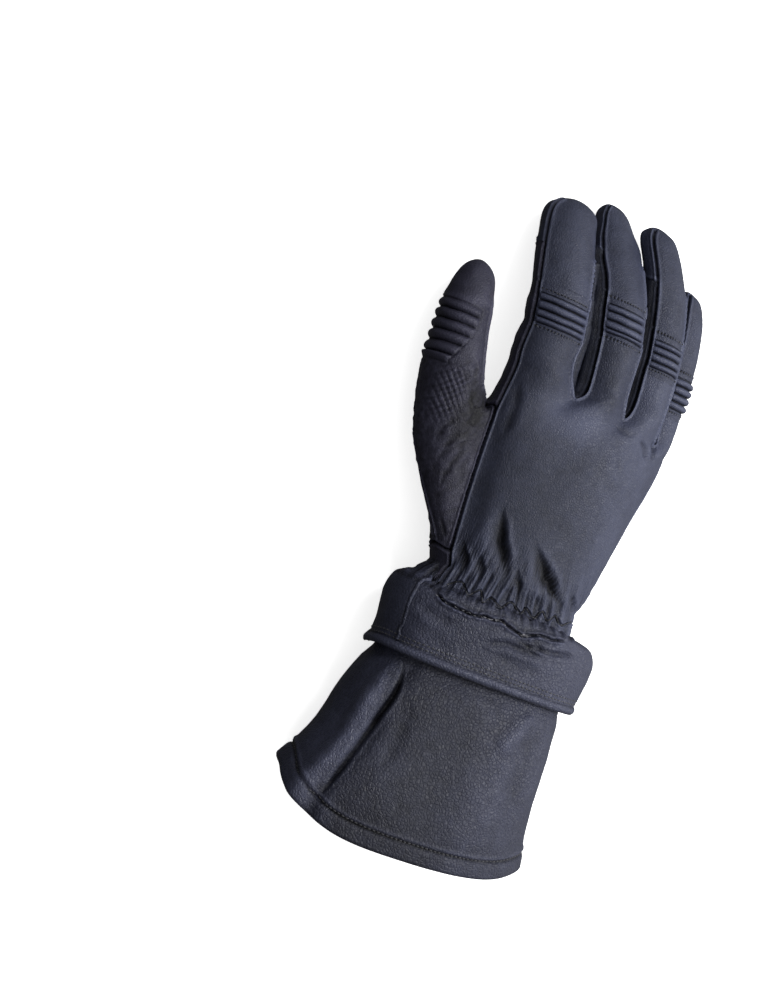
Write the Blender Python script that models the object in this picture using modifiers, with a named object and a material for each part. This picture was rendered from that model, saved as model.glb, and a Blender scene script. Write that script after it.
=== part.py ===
"""Motorcycle gauntlet glove, right hand, lying palm down. Metres, +Z up, fingers towards +Y, thumb towards -X."""
import bpy
import math
import numpy as np
from mathutils import Vector
from mathutils.bvhtree import BVHTree

# Named sizes, in millimetres
HAND = 210.0      # wrist line to the tip of the longest finger
CUFF = 139.0      # wrist line to the hem of the gauntlet
WIDTH = 105.0     # across the knuckles
LEATHER = 1.6     # wall of the hand and fingers
CUFF_WALL = 1.8   # wall of band and gauntlet
PATCH_WALL = 1.5  # wall of the patches sewn on the palm
BAND_LENGTH = 47.0  # wrist line to the hem of the short band
LINING_WALL = 2.0 # fleece inside the band
GAP = 0.36        # clear space left between two sewn pieces
RIDGE = 1.3       # height of an accordion rib

# Fingers: a row per ring, from the web to the tip.
# y along the hand as a share of HAND; x, z, half width and half thickness as shares of WIDTH; roll in degrees.
FINGERS = {
    "index": [
        #  y       x       z      half_w  half_h  roll
        (0.5720, -0.302, 0.304, 0.1600, 0.1220, -8),
        (0.6306, -0.306, 0.308, 0.1570, 0.1190, -8),
        (0.6580, -0.312, 0.308, 0.1595, 0.1180, -8),
        (0.6853, -0.321, 0.305, 0.1595, 0.1175, -8),
        (0.7126, -0.331, 0.300, 0.1595, 0.1170, -8),
        (0.7419, -0.341, 0.290, 0.1595, 0.1165, -8),
        (0.8317, -0.366, 0.238, 0.1575, 0.1120, -8),
        (0.9166, -0.380, 0.168, 0.1400, 0.1010, -8),
        (0.9498, -0.378, 0.140, 0.0900, 0.0640, -8)],
    "middle": [
        (0.5740, 0.040, 0.330, 0.1260, 0.1200, 3),
        (0.6697, 0.014, 0.334, 0.1360, 0.1170, 3),
        (0.6960, 0.000, 0.333, 0.1385, 0.1165, 3),
        (0.7224, -0.013, 0.328, 0.1390, 0.1160, 3),
        (0.7487, -0.025, 0.320, 0.1385, 0.1150, 3),
        (0.7829, -0.038, 0.305, 0.1375, 0.1140, 3),
        (0.8717, -0.072, 0.206, 0.1310, 0.1080, 3),
        (0.9489, -0.102, 0.108, 0.1110, 0.0980, 3),
        (0.9840, -0.110, 0.084, 0.0700, 0.0620, 3)],
    "ring": [
        (0.5779, 0.304, 0.281, 0.1190, 0.1130, 15),
        (0.6365, 0.294, 0.281, 0.1250, 0.1110, 15),
        (0.6628, 0.291, 0.279, 0.1250, 0.1100, 15),
        (0.6892, 0.286, 0.273, 0.1250, 0.1090, 15),
        (0.7155, 0.278, 0.266, 0.1250, 0.1085, 15),
        (0.7497, 0.264, 0.259, 0.1230, 0.1070, 15),
        (0.8571, 0.210, 0.224, 0.1190, 0.1020, 15),
        (0.9450, 0.143, 0.158, 0.1080, 0.0940, 15),
        (0.9781, 0.129, 0.130, 0.0680, 0.0600, 15)],
    "little": [
        (0.5350, 0.505, 0.137, 0.1080, 0.1020, 35),
        (0.5662, 0.498, 0.140, 0.1150, 0.1030, 35),
        (0.5955, 0.500, 0.138, 0.1150, 0.1025, 35),
        (0.6248, 0.500, 0.136, 0.1150, 0.1020, 35),
        (0.6540, 0.497, 0.134, 0.1150, 0.1015, 35),
        (0.6911, 0.487, 0.131, 0.1140, 0.1005, 35),
        (0.7780, 0.464, 0.116, 0.1070, 0.0960, 35),
        (0.8434, 0.435, 0.106, 0.0930, 0.0860, 35),
        (0.8727, 0.423, 0.100, 0.0580, 0.0540, 35)]}
TIPS = {"index": (0.9645, -0.374, 0.118), "middle": (0.9986, -0.112, 0.072), "ring": (0.9928, 0.125, 0.114),
        "little": (0.8854, 0.417, 0.096)}
ORDER = ("index", "middle", "ring", "little")
SET_IN = ("middle", "ring")  # fingers whose front is a piece of its own; the other two are cut with the palm
FREE_FINGERS = 0.562  # share of HAND past which the fingers rest on the floor themselves, not on the patches
FADE = 15.0       # length over which the palm comes down to them
SEAM_DEG = 60.0   # where the long seams run on a finger, from the middle of its back

# Hand: rows of twenty points from the radial seam over the back, round the little-finger side, back under
# the palm and up the thumb side. Here and below x and z are shares of WIDTH, and y is a share of HAND.
SEAM_ANGLES = ([153 - 15.75 * i for i in range(9)] + [0] + [-27 - 15.75 * i for i in range(9)] + [180])
WRIST = [
    #  y       cx       cz      a       top     under
    (-0.0381, -0.0352, 0.2619, 0.4324, 0.2429, 0.2286),
    (0.0143, -0.0305, 0.2571, 0.4048, 0.2333, 0.2152)]
HAND_ROWS = [
    (0.0619, [(-0.405, 0.362), (-0.324, 0.425), (-0.214, 0.469), (-0.086, 0.495), (0.038, 0.495), (0.158, 0.474),
             (0.266, 0.433), (0.353, 0.371), (0.405, 0.295), (0.419, 0.229), (0.384, 0.114), (0.290, 0.052),
             (0.168, 0.029), (0.038, 0.021), (-0.086, 0.021), (-0.210, 0.029), (-0.314, 0.052), (-0.395, 0.114),
             (-0.453, 0.210), (-0.461, 0.295)]),
    (0.2333, [(-0.435, 0.352), (-0.343, 0.419), (-0.210, 0.470), (-0.067, 0.492), (0.076, 0.490), (0.210, 0.463),
             (0.338, 0.406), (0.443, 0.320), (0.499, 0.219), (0.510, 0.152), (0.469, 0.076), (0.373, 0.038),
             (0.248, 0.029), (0.114, 0.038), (-0.029, 0.057), (-0.171, 0.057), (-0.305, 0.057), (-0.410, 0.095),
             (-0.467, 0.190), (-0.476, 0.276)]),
    (0.4143, [(-0.448, 0.333), (-0.362, 0.400), (-0.238, 0.443), (-0.086, 0.467), (0.067, 0.471), (0.210, 0.446),
             (0.343, 0.389), (0.472, 0.299), (0.570, 0.186), (0.587, 0.114), (0.545, 0.057), (0.448, 0.040),
             (0.324, 0.057), (0.181, 0.090), (0.038, 0.119), (-0.114, 0.129), (-0.257, 0.129), (-0.381, 0.148),
             (-0.457, 0.200), (-0.471, 0.267)])]
# Web row: (x, y, z). Back: seam, index, web, middle, web, ring, web, little, seam; then the side; then the palm.
WEB_ROW = [
    (-0.434, 0.5238, 0.337), (-0.286, 0.5286, 0.427), (-0.095, 0.5096, 0.377), (0.048, 0.5333, 0.450),
    (0.194, 0.5143, 0.368), (0.324, 0.5238, 0.392), (0.444, 0.4904, 0.269), (0.543, 0.4858, 0.248),
    (0.594, 0.4762, 0.135), (0.581, 0.4810, 0.086), (0.539, 0.4904, 0.051), (0.438, 0.5048, 0.057),
    (0.390, 0.5096, 0.171), (0.267, 0.5238, 0.167), (0.171, 0.5333, 0.248), (0.038, 0.5286, 0.208),
    (-0.110, 0.5143, 0.240), (-0.286, 0.5238, 0.171), (-0.419, 0.5238, 0.219), (-0.448, 0.5238, 0.276)]
WEB_MID = [(-0.105, 0.4972, 0.305), (0.177, 0.5028, 0.305), (0.413, 0.4810, 0.215)]

# Thumb: medial point, lateral point, half thickness and roll in degrees, from the hand to the tip.
THUMB_RINGS = [
    # medial x  y       z       lateral x  y     z      half_h  roll
    (-0.500, 0.4285, 0.290, -0.633, 0.1952, 0.229, 0.1200, -8),
    (-0.538, 0.4476, 0.319, -0.773, 0.3286, 0.176, 0.1410, -22),
    (-0.577, 0.4666, 0.349, -0.836, 0.4572, 0.158, 0.1467, -35),
    (-0.592, 0.4924, 0.342, -0.844, 0.4838, 0.154, 0.1448, -35),
    (-0.606, 0.5181, 0.333, -0.848, 0.5114, 0.150, 0.1419, -35),
    (-0.617, 0.5438, 0.324, -0.850, 0.5391, 0.146, 0.1390, -35),
    (-0.627, 0.5695, 0.314, -0.849, 0.5667, 0.141, 0.1352, -35),
    (-0.634, 0.5953, 0.304, -0.844, 0.5933, 0.136, 0.1314, -35),
    (-0.639, 0.6210, 0.292, -0.838, 0.6210, 0.132, 0.1257, -35),
    (-0.657, 0.6762, 0.259, -0.813, 0.6762, 0.126, 0.1048, -35),
    (-0.688, 0.7143, 0.223, -0.781, 0.7143, 0.139, 0.0629, -35)]
THUMB_TIP = (-0.737, 0.7333, 0.171)

# Band and gauntlet: ovals down the forearm, the rest as shares of WIDTH.
# y of band and lining is a share of BAND_LENGTH; the gauntlet's runs from the band's hem (0) to CUFF (1).
BAND = [
    #  y       cx       cz      a       top     under
    (-0.0426, -0.0486, 0.2667, 0.4581, 0.2724, 0.2476),
    (-0.1170, -0.0448, 0.2724, 0.5067, 0.2819, 0.2648),
    (-0.2340, -0.0248, 0.2762, 0.5505, 0.2876, 0.2819),
    (-0.4043, -0.0152, 0.2800, 0.5714, 0.2914, 0.2895),
    (-0.7021, -0.0105, 0.2819, 0.5619, 0.2914, 0.2914),
    (-1.0000, -0.0229, 0.2838, 0.5581, 0.3010, 0.2933)]
LINING = [
    (-0.2043, -0.0400, 0.2667, 0.4152, 0.2381, 0.2229),
    (-0.4681, -0.0210, 0.2762, 0.4819, 0.2533, 0.2381),
    (-0.9787, -0.0238, 0.2857, 0.5162, 0.2686, 0.2629)]
GAUNTLET = [
    #  down     cx       cz      a       top     under
    (-0.1196, -0.0219, 0.2857, 0.5086, 0.2629, 0.2514),
    (-0.0109, -0.0257, 0.2876, 0.5181, 0.2705, 0.2743),
    (0.0761, -0.0400, 0.2933, 0.5448, 0.2952, 0.3029),
    (0.2283, -0.0648, 0.3048, 0.5733, 0.3143, 0.3238),
    (0.4891, -0.0886, 0.3181, 0.6067, 0.3333, 0.3429),
    (0.6630, -0.1181, 0.3276, 0.6495, 0.3429, 0.3562),
    (0.8152, -0.1381, 0.3333, 0.7048, 0.3486, 0.3638),
    (1.0000, -0.1362, 0.3352, 0.7362, 0.3505, 0.3657)]
# Hem of the gauntlet as shares of CUFF, every 30 degrees round from the little-finger side over the back
HEM_LINE = (0.906, 0.932, 0.980, 0.999, 0.989, 0.919, 0.838, 0.835, 0.850, 0.862, 0.872, 0.890)
POWER = 2.3            # squareness of the ovals
WELT_DEG = 153.0       # welt on the thumb side of the band
FOLD_DEG = 136.0       # gauntlet seam beside its fold
FAR_SEAM_DEG = -24.0   # the matching seams on the little-finger side
COLUMNS = 12           # faces along each half of a cuff piece
PALM_FROM_DEG = 190.0      # where the band's arch starts round the wrist, in degrees
PALM_SPAN_DEG = 160.0      # and how far it goes
LIFT = 1.1             # clear height of a patch over the curved palm
TUCK = 6.0             # band over the top of the gauntlet, at the back
PALM_RISE = 30.0       # how far the band's hem arches up on the palm side
ZIP = 4.4              # width of the zip chain
ZIP_DIP = 9.0          # how far the zip runs down on the palm side
HEM = 10.0             # turned hem of the gauntlet
BINDING = 4.0          # binding of the band's hem
BINDING_WALL = 0.9     # thickness of the binding
BINDING_LIP = 0.6      # binding past the hem's cut edge
PIPE = 0.9             # radius of the welt on the band
PIPE_CLEAR = 0.58      # clear space under the welt
SLIDER = (8.0, 5.6, 2.4)   # zip slider: length round the wrist, width, thickness
SLIDER_DEG = 306.0     # where the slider stands, on the palm side
SLIDER_CLEAR = 1.8     # clear space under the slider
ZIP_WALL = 1.4         # thickness of the zip chain
HEM_WALL = 1.2         # leather turned inside the hem
PAD_PUFF = 2.0         # how far the knuckle pad puffs out
PLEAT_DEG = 12.0       # width of the gauntlet's pleat, in degrees
PLEAT_RIDGE = 3.4      # height of its ridge
PLEAT_CREASE = 1.6     # depth of its crease
PLEAT_RUN = 30.0       # length over which it grows from under the band

# Patches on the palm, a column per entry: x, lower y, upper y, and how far it puffs out as a share of PAD_PUFF.
HEEL_PATCH = [
    (-0.333, 0.1240, 0.2235, 0.0), (-0.276, 0.0381, 0.2099, 0.1), (-0.181, 0.0176, 0.1620, 0.15),
    (-0.076, 0.0166, 0.1289, 0.15), (0.038, 0.0166, 0.1191, 0.15), (0.143, 0.0166, 0.1337, 0.15),
    (0.238, 0.0176, 0.1572, 0.1), (0.305, 0.0283, 0.1757, 0.0)]
KNUCKLE_PAD = [
    (-0.210, 0.3807, 0.4090, 0.0), (-0.133, 0.3622, 0.4520, 0.4), (-0.048, 0.3426, 0.4813, 0.8),
    (0.038, 0.3290, 0.4900, 1.0), (0.124, 0.3192, 0.4715, 0.8), (0.200, 0.3143, 0.4715, 0.8),
    (0.276, 0.3143, 0.4813, 1.0), (0.352, 0.3192, 0.4520, 0.7), (0.419, 0.3339, 0.4481, 0.4),
    (0.476, 0.3622, 0.4237, 0.0)]

OBJECTS = []


def leather(name, colour, roughness):
    mat = bpy.data.materials.new(name)
    mat.use_nodes = True
    shader = mat.node_tree.nodes["Principled BSDF"]
    shader.inputs["Base Color"].default_value = (*colour, 1.0)
    shader.inputs["Roughness"].default_value = roughness
    return mat


def make(name, verts, faces, mat):
    """One named sub-part from points in millimetres."""
    mesh = bpy.data.meshes.new(name)
    points = [tuple(float(c) * 0.001 for c in v) for v in verts]
    mesh.from_pydata(points, [], [tuple(map(int, f)) for f in faces])
    mesh.materials.append(mat)
    mesh.update()
    mesh.shade_smooth()
    obj = bpy.data.objects.new(name, mesh)
    COLLECTION.objects.link(obj)
    OBJECTS.append(obj)
    return obj


def at(x, y, z):
    """Point in millimetres from shares of WIDTH, HAND and WIDTH."""
    return WIDTH * x, HAND * y, WIDTH * z


def sized(table, length, start=0.0):
    """Oval rows in millimetres: y as a share of a length from a start, the rest of WIDTH."""
    return [(start + length * y, *(WIDTH * share for share in rest)) for y, *rest in table]


def oval(row, deg):
    """Point (x, z) of an oval row at an angle; 0 is the little-finger side, 90 the back."""
    _, cx, cz, a, top, under = row
    c, s = math.cos(math.radians(deg)), math.sin(math.radians(deg))
    e = 2.0 / POWER
    x = cx + a * math.copysign(abs(c) ** e, c)
    z = cz + (top if s > 0 else under) * math.copysign(abs(s) ** e, s)
    return x, z


def smooth_row(table, y):
    """Row of an oval table at any y, on a smooth curve through its rows."""
    k = 0
    while k < len(table) - 2 and y < table[k + 1][0]:
        k += 1
    h = table[k + 1][0] - table[k][0]
    t = min(max((y - table[k][0]) / h, 0.0), 1.0)
    out = [y]
    for c in range(1, 6):
        p1, p2 = table[k][c], table[k + 1][c]
        m1 = m2 = p2 - p1
        if k:
            m1 = (p2 - table[k - 1][c]) / (table[k + 1][0] - table[k - 1][0]) * h
        if k + 2 < len(table):
            m2 = (table[k + 2][c] - p1) / (table[k + 2][0] - table[k][0]) * h
        out.append((2 * t ** 3 - 3 * t ** 2 + 1) * p1 + (t ** 3 - 2 * t ** 2 + t) * m1
                   + (-2 * t ** 3 + 3 * t ** 2) * p2 + (t ** 3 - t ** 2) * m2)
    return tuple(out)


def to_limit(verts, faces):
    """Where each point of a cage of quads ends up on its smooth surface."""
    pairs = np.stack([faces, np.roll(faces, -1, 1)], 2).reshape(-1, 2)
    edges, count = np.unique(np.sort(pairs, 1), axis=0, return_counts=True)
    n = len(verts)
    val, ring, far = np.zeros(n), np.zeros((n, 3)), np.zeros((n, 3))
    np.add.at(val, edges.ravel(), 1)
    np.add.at(ring, edges[:, 0], verts[edges[:, 1]])
    np.add.at(ring, edges[:, 1], verts[edges[:, 0]])
    for c in range(4):
        np.add.at(far, faces[:, c], verts[faces[:, (c + 2) % 4]])
    out = ((val ** 2)[:, None] * verts + 4 * ring + far) / (val * (val + 5))[:, None]
    rim_edges = edges[count == 1]
    rim = np.unique(rim_edges)
    along = np.zeros((n, 3))
    np.add.at(along, rim_edges[:, 0], verts[rim_edges[:, 1]])
    np.add.at(along, rim_edges[:, 1], verts[rim_edges[:, 0]])
    out[rim] = (4 * verts[rim] + along[rim]) / 6
    return out


def through(points, quads, free, rounds=14):
    """Cage whose smooth surface passes through the given points, except for the free ones."""
    cage = points.copy()
    for _ in range(rounds):
        step = points - to_limit(cage, quads)
        step[free] = 0
        cage += step
    return cage


def normals(verts, faces, eased=0):
    """Normals of the points, averaged with their neighbours a few times where walls meet in a tight fork."""
    p = verts[faces]
    face_normal = np.cross(p[:, 2] - p[:, 0], p[:, 3] - p[:, 1])
    out = np.zeros_like(verts)
    for c in range(4):
        np.add.at(out, faces[:, c], face_normal)
    out /= np.linalg.norm(out, axis=1, keepdims=True)
    for _ in range(eased):
        around = out.copy()
        for c in range(4):
            np.add.at(around, faces[:, c], out[faces[:, (c + 1) % 4]])
        out = around / np.linalg.norm(around, axis=1, keepdims=True)
    return out


def finger_ring(row):
    """Eight points of a finger section: back, seam, side, seam, palm, seam, side, seam (towards +X first)."""
    y, x, z, half_w, half_h, roll = row
    c, s = math.cos(math.radians(roll)), math.sin(math.radians(roll))
    out = []
    for deg in (0, SEAM_DEG, 90, 180 - SEAM_DEG, 180, 180 + SEAM_DEG, 270, 360 - SEAM_DEG):
        u, v = half_w * math.sin(math.radians(deg)), half_h * math.cos(math.radians(deg))
        out.append(at(x + u * c + v * s, y, z - u * s + v * c))
    return out


def thumb_ring(row):
    """Eight points: medial, then over the palm side to the lateral point, then over the back."""
    medial, lateral = np.array(at(*row[:3])), np.array(at(*row[3:6]))
    half_h, roll = WIDTH * row[6], math.radians(row[7])
    axis = (lateral - medial) / np.linalg.norm(lateral - medial)
    up = np.array([math.sin(roll), 0.0, math.cos(roll)])
    up -= axis * up.dot(axis)
    up /= np.linalg.norm(up)
    out = []
    for i in range(8):
        a = math.radians(45 * i)
        out.append(tuple(medial + (lateral - medial) * (1 - math.cos(a)) / 2 - up * half_h * math.sin(a)))
    return out


def hand_cage():
    """Points the skin passes through, its quads, the panel of each quad and the points that start a rib."""
    pts, quads, names = [], [], []
    rib_line = {}

    def add(p):
        pts.append(p)
        return len(pts) - 1

    def quad(a, b, c, d, name):
        quads.append((a, b, c, d))
        names.append(name)

    rows = [[add((oval(row, deg)[0], row[0], oval(row, deg)[1])) for deg in SEAM_ANGLES]
            for row in sized(WRIST, HAND)]
    for y, ring in HAND_ROWS:
        rows.append([add(at(x, y, z)) for x, z in ring])
    rows.append([add(at(*p)) for p in WEB_ROW])
    mids = [add(at(*p)) for p in WEB_MID]
    thumb_hole = [(2, 18), (2, 19), (3, 18), (3, 19)]
    for r in range(len(rows) - 1):
        for j in range(20):
            k = (j + 1) % 20
            if (r, j) not in thumb_hole:
                quad(rows[r][j], rows[r][k], rows[r + 1][k], rows[r + 1][j], "back" if j < 8 else "palm")
    top = rows[-1]
    for f, finger in enumerate(ORDER):
        near, far = 2 * f, 16 - 2 * f
        side_plus = mids[f] if f < 3 else top[9]
        side_minus = mids[f - 1] if f else top[19]
        prev = [top[near + 1], top[near + 2], side_plus, top[far], top[far + 1], top[far + 2], side_minus, top[near]]
        front = "front_" + finger if finger in SET_IN else "palm"
        plus = "side_" + finger if f < 3 else front
        minus = "side_" + ORDER[f - 1] if f else front
        for n, row in enumerate(FINGERS[finger]):
            ring = [add(p) for p in finger_ring(row)]
            back = "back" if n < 2 else "ribs_" + finger if n < 6 else "tip_" + finger
            around = [back, plus, plus, front, front, minus, minus, back]
            if n > 6:
                around = ["tip_" + finger] * 8
            for i in range(8):
                k = (i + 1) % 8
                quad(prev[i], prev[k], ring[k], ring[i], around[i])
                rib_line[ring[i]] = n
            prev = ring
        y, x, z = TIPS[finger]
        tip = add(at(x, y, z))
        for i in (1, 3, 5, 7):
            quad(prev[i], prev[(i + 1) % 8], prev[(i + 2) % 8], tip, "tip_" + finger)
    web, middle, heel = rows[4], rows[3], rows[2]
    prev = [web[19], web[18], middle[18], heel[18], heel[19], heel[0], middle[0], web[0]]
    for n, row in enumerate(THUMB_RINGS):
        ring = [add(p) for p in thumb_ring(row)]
        for i in range(8):
            k = (i + 1) % 8
            back = "ribs_thumb" if 3 <= n <= 8 and 4 <= i <= 6 else "thumb_back"
            quad(prev[i], prev[k], ring[k], ring[i], "thumb_front" if i < 4 else back)
            rib_line[ring[i]] = n
        prev = ring
    tip = add(at(*THUMB_TIP))
    for i in (0, 2, 4, 6):
        quad(prev[i], prev[i + 1], prev[(i + 2) % 8], tip, "thumb_front" if i < 4 else "thumb_back")
    used = np.unique(quads)
    lines = np.array([rib_line.get(int(i), 0) for i in used])
    return np.array(pts, float)[used], np.searchsorted(used, np.array(quads)), names, lines, np.isin(used, mids)


def subdivided(points, quads, tags, lines):
    """The cage under a Subdivision Surface: points, quads, tags, and how far each point is from a rib line."""
    mesh = bpy.data.meshes.new("skin_cage")
    mesh.from_pydata([tuple(p) for p in points], [], [tuple(map(int, q)) for q in quads])
    cage = bpy.data.objects.new("skin_cage", mesh)
    COLLECTION.objects.link(cage)
    for i in range(int(tags.max()) + 1):
        mesh.materials.append(bpy.data.materials.new("panel_%d" % i))
    mesh.polygons.foreach_set("material_index", tags.astype(np.int32))
    group = cage.vertex_groups.new(name="line")
    for i, n in enumerate(lines):
        group.add([i], float(n) / 16, "REPLACE")
    soft = cage.modifiers.new("Subdivision", "SUBSURF")
    soft.levels = soft.render_levels = 1
    graph = bpy.context.evaluated_depsgraph_get()
    fine = bpy.data.meshes.new_from_object(cage.evaluated_get(graph))
    verts = np.empty(len(fine.vertices) * 3)
    fine.vertices.foreach_get("co", verts)
    faces = np.array([tuple(p.vertices) for p in fine.polygons])
    fine_tags = np.array([p.material_index for p in fine.polygons])
    step = np.array([sum(g.weight for g in v.groups) * 16 for v in fine.vertices])
    bpy.data.objects.remove(cage)
    return verts.reshape(-1, 3), faces, fine_tags, np.abs(step - np.round(step))


def panel(name, verts, norms, faces, wall, mat, lift=0.0):
    """Closed leather piece: the given quads as its outer face, an inner face one wall below, and cut edges."""
    used = np.unique(faces)
    f = np.searchsorted(used, faces)
    v, n = verts[used].copy(), norms[used]
    directed = [(int(q[i]), int(q[(i + 1) % 4])) for q in f for i in range(4)]
    seen = set(directed)
    rim = [e for e in directed if (e[1], e[0]) not in seen]
    pull = {}
    for a, b in rim:
        inward = np.cross(n[a] + n[b], v[b] - v[a])
        inward /= np.linalg.norm(inward)
        pull.setdefault(a, []).append(inward)
        pull.setdefault(b, []).append(inward)
    for i, (one, two) in pull.items():
        v[i] += GAP / 2 * (one + two) / max(1 + one.dot(two), 0.2)
    count = len(v)
    polys = []
    for a, b, c, d in f:
        if np.linalg.norm(v[a] - v[c]) > np.linalg.norm(v[b] - v[d]):
            a, b, c, d = b, c, d, a
        polys += [(a, b, c), (a, c, d), (count + c, count + b, count + a), (count + d, count + c, count + a)]
    polys += [(b, a, count + a, count + b) for a, b in rim]
    return make(name, np.vstack([v + lift * n, v + (lift - wall) * n]), polys, mat)


def between(top, bottom, shares):
    """Lines round a cuff at shares of the way from one line to another."""
    return [lambda deg, share=share: top(deg) + (bottom(deg) - top(deg)) * share for share in shares]


def cuff_grid(table, seam, levels, floor=0.0, bulge=None):
    """Grid of a cuff along lines that give y at each angle. The first half of its columns is the back."""
    far = FAR_SEAM_DEG
    angles = [far + (seam - far) * i / COLUMNS for i in range(COLUMNS)]
    angles += [seam + (360 + far - seam) * i / COLUMNS for i in range(COLUMNS)]
    verts = []
    for level in levels:
        for deg in angles:
            y = level(deg)
            row = smooth_row(table, y)
            x, z = oval(row, deg)
            if bulge:
                away = bulge(deg, y)
                x += away * math.cos(math.radians(deg))
                z += away * math.sin(math.radians(deg))
            verts.append((x, y, max(z, floor)))
    n, rows = len(angles), len(levels) - 1
    quads = []
    for r in range(rows):
        for c in range(n):
            d = (c + 1) % n
            quads.append((r * n + c, r * n + d, (r + 1) * n + d, (r + 1) * n + c))
    verts, quads = np.array(verts), np.array(quads)
    half = np.tile(np.arange(n) < COLUMNS, rows)
    return verts, quads, normals(verts, quads), half


def palm_bump(deg):
    """0 over the back and sides, 1 under the middle of the palm."""
    d = (deg - PALM_FROM_DEG) % 360
    return math.sin(math.pi * d / PALM_SPAN_DEG) ** 2 if d < PALM_SPAN_DEG else 0.0


def hem_y(deg):
    """Hem of the gauntlet on a smooth curve through HEM_LINE: longest over the back."""
    at_deg = deg / 360 * len(HEM_LINE)
    k, t = math.floor(at_deg), at_deg % 1
    a, b, c, d = (HEM_LINE[(k + n) % len(HEM_LINE)] for n in (-1, 0, 1, 2))
    return -CUFF * (b + t * (c - a + t * (2 * a - 5 * b + 4 * c - d + t * (3 * b - a - 3 * c + d))) / 2)


def band_top(deg):
    return BAND_LENGTH * BAND[0][0]


def lining_top(deg):
    return BAND_LENGTH * LINING[0][0]


def lining_end(deg):
    return zip_line(deg) + ZIP


def band_hem(deg):
    return -BAND_LENGTH + PALM_RISE * palm_bump(deg)


def zip_line(deg):
    return -BAND_LENGTH + TUCK - ZIP_DIP * palm_bump(deg)


def fold(deg, y):
    """The pleat beside the gauntlet's seam: a crease on the seam and a ridge next to it."""
    t = (deg - FOLD_DEG) / PLEAT_DEG
    grow = min(1.0, max(0.0, (-BAND_LENGTH + TUCK - y) / PLEAT_RUN))
    return grow * (PLEAT_RIDGE * math.exp(-((t - 1.0) * 1.6) ** 2) - PLEAT_CREASE * math.exp(-(t * 3.0) ** 2))


def patch(name, table, skin_tree, wall, mat):
    """Leather patch under the palm: columns of a table, laid on the skin from below."""
    rows = 3
    verts = []
    for x, low, high, puff in table:
        for r in range(rows + 1):
            below = at(x, low + (high - low) * r / rows, -1.0)
            hit, normal, _, _ = skin_tree.ray_cast(below, (0.0, 0.0, 1.0))
            rise = PAD_PUFF * puff * math.sin(math.pi * r / rows)
            verts.append(tuple(hit + normal * (LIFT + wall + rise)))
    n = rows + 1
    quads = [(c * n + r, c * n + r + 1, (c + 1) * n + r + 1, (c + 1) * n + r)
             for c in range(len(table) - 1) for r in range(rows)]
    verts, quads = np.array(verts), np.array(quads)
    verts[:, 2] = np.maximum(verts[:, 2], 0.0)
    return panel(name, verts, normals(verts, quads), quads, wall, mat)


for old in list(bpy.data.objects):
    bpy.data.objects.remove(old)
COLLECTION = bpy.data.collections.new("motorcycle_gauntlet_glove")
bpy.context.scene.collection.children.link(COLLECTION)
back_leather = leather("back_leather", (0.030, 0.031, 0.040), 0.42)
palm_leather = leather("palm_leather", (0.027, 0.027, 0.035), 0.50)
cuff_leather = leather("cuff_leather", (0.028, 0.028, 0.036), 0.45)
fleece = leather("fleece", (0.030, 0.022, 0.034), 0.95)
metal = leather("zip_metal", (0.25, 0.25, 0.27), 0.35)

# Skin of the hand, then its panels
points, quads, names, lines, free = hand_cage()
keys = sorted(set(names))
tags = np.array([keys.index(t) for t in names])
skin, faces, tags, off_line = subdivided(through(points, quads, free), quads, tags, lines)
palm_floor = (PATCH_WALL + LIFT) * np.clip((HAND * FREE_FINGERS - skin[:, 1]) / FADE, 0.0, 1.0)
skin[:, 2] = np.maximum(skin[:, 2], palm_floor)
skin_normals = normals(skin, faces, 2)
skin_tree = BVHTree.FromPolygons([tuple(p) for p in skin], [tuple(map(int, q)) for q in faces])
for rib in [k for k in keys if k.startswith("ribs_")]:
    own = tags == keys.index(rib)
    inside = np.setdiff1d(np.unique(faces[own]), np.unique(faces[~own]))
    proud = inside[off_line[inside] > 0.25]
    skin[proud] += skin_normals[proud] * RIDGE
PANELS = {"back": "back_panel", "palm": "palm_panel", "side_index": "fourchette_index",
          "side_middle": "fourchette_middle", "side_ring": "fourchette_ring"}
for i, key in enumerate(keys):
    mat = palm_leather if key.startswith(("palm", "front", "thumb")) else back_leather
    panel(PANELS.get(key, key), skin, skin_normals, faces[tags == i], LEATHER, mat)
patch("heel_patch", HEEL_PATCH, skin_tree, PATCH_WALL, palm_leather)
patch("knuckle_pad", KNUCKLE_PAD, skin_tree, PATCH_WALL, palm_leather)

# Short band round the wrist
band_floor = GAP + BINDING_WALL
band_rows = sized(BAND, BAND_LENGTH)
levels = between(band_top, band_hem, (0, 0.1, 0.3, 0.65, 1))
verts, quads, norms, back = cuff_grid(band_rows, WELT_DEG, levels, band_floor)
panel("band_back", verts, norms, quads[back], CUFF_WALL, cuff_leather)
panel("band_palm", verts, norms, quads[~back], CUFF_WALL, cuff_leather)
band_welt = bpy.data.curves.new("band_welt", "CURVE")
band_welt.dimensions = "3D"
band_welt.bevel_depth = PIPE * 0.001
band_welt.bevel_resolution = 1
band_welt.use_fill_caps = True
on_seam = [r * 2 * COLUMNS + COLUMNS for r in range(len(levels))]
seam = [verts[i] + norms[i] * (PIPE + PIPE_CLEAR) for i in on_seam]
short = (BINDING + 1.0) / (seam[3][1] - seam[4][1])
seam[4] = seam[4] + (seam[3] - seam[4]) * short
line = band_welt.splines.new("POLY")
line.points.add(len(seam) - 1)
for point, co in zip(line.points, seam):
    point.co = (*(co * 0.001), 1.0)
welt = bpy.data.objects.new("band_welt", band_welt)
COLLECTION.objects.link(welt)
band_welt.materials.append(cuff_leather)
OBJECTS.append(welt)
binding = [lambda a: band_hem(a) + BINDING, lambda a: band_hem(a) - BINDING_LIP]
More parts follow.
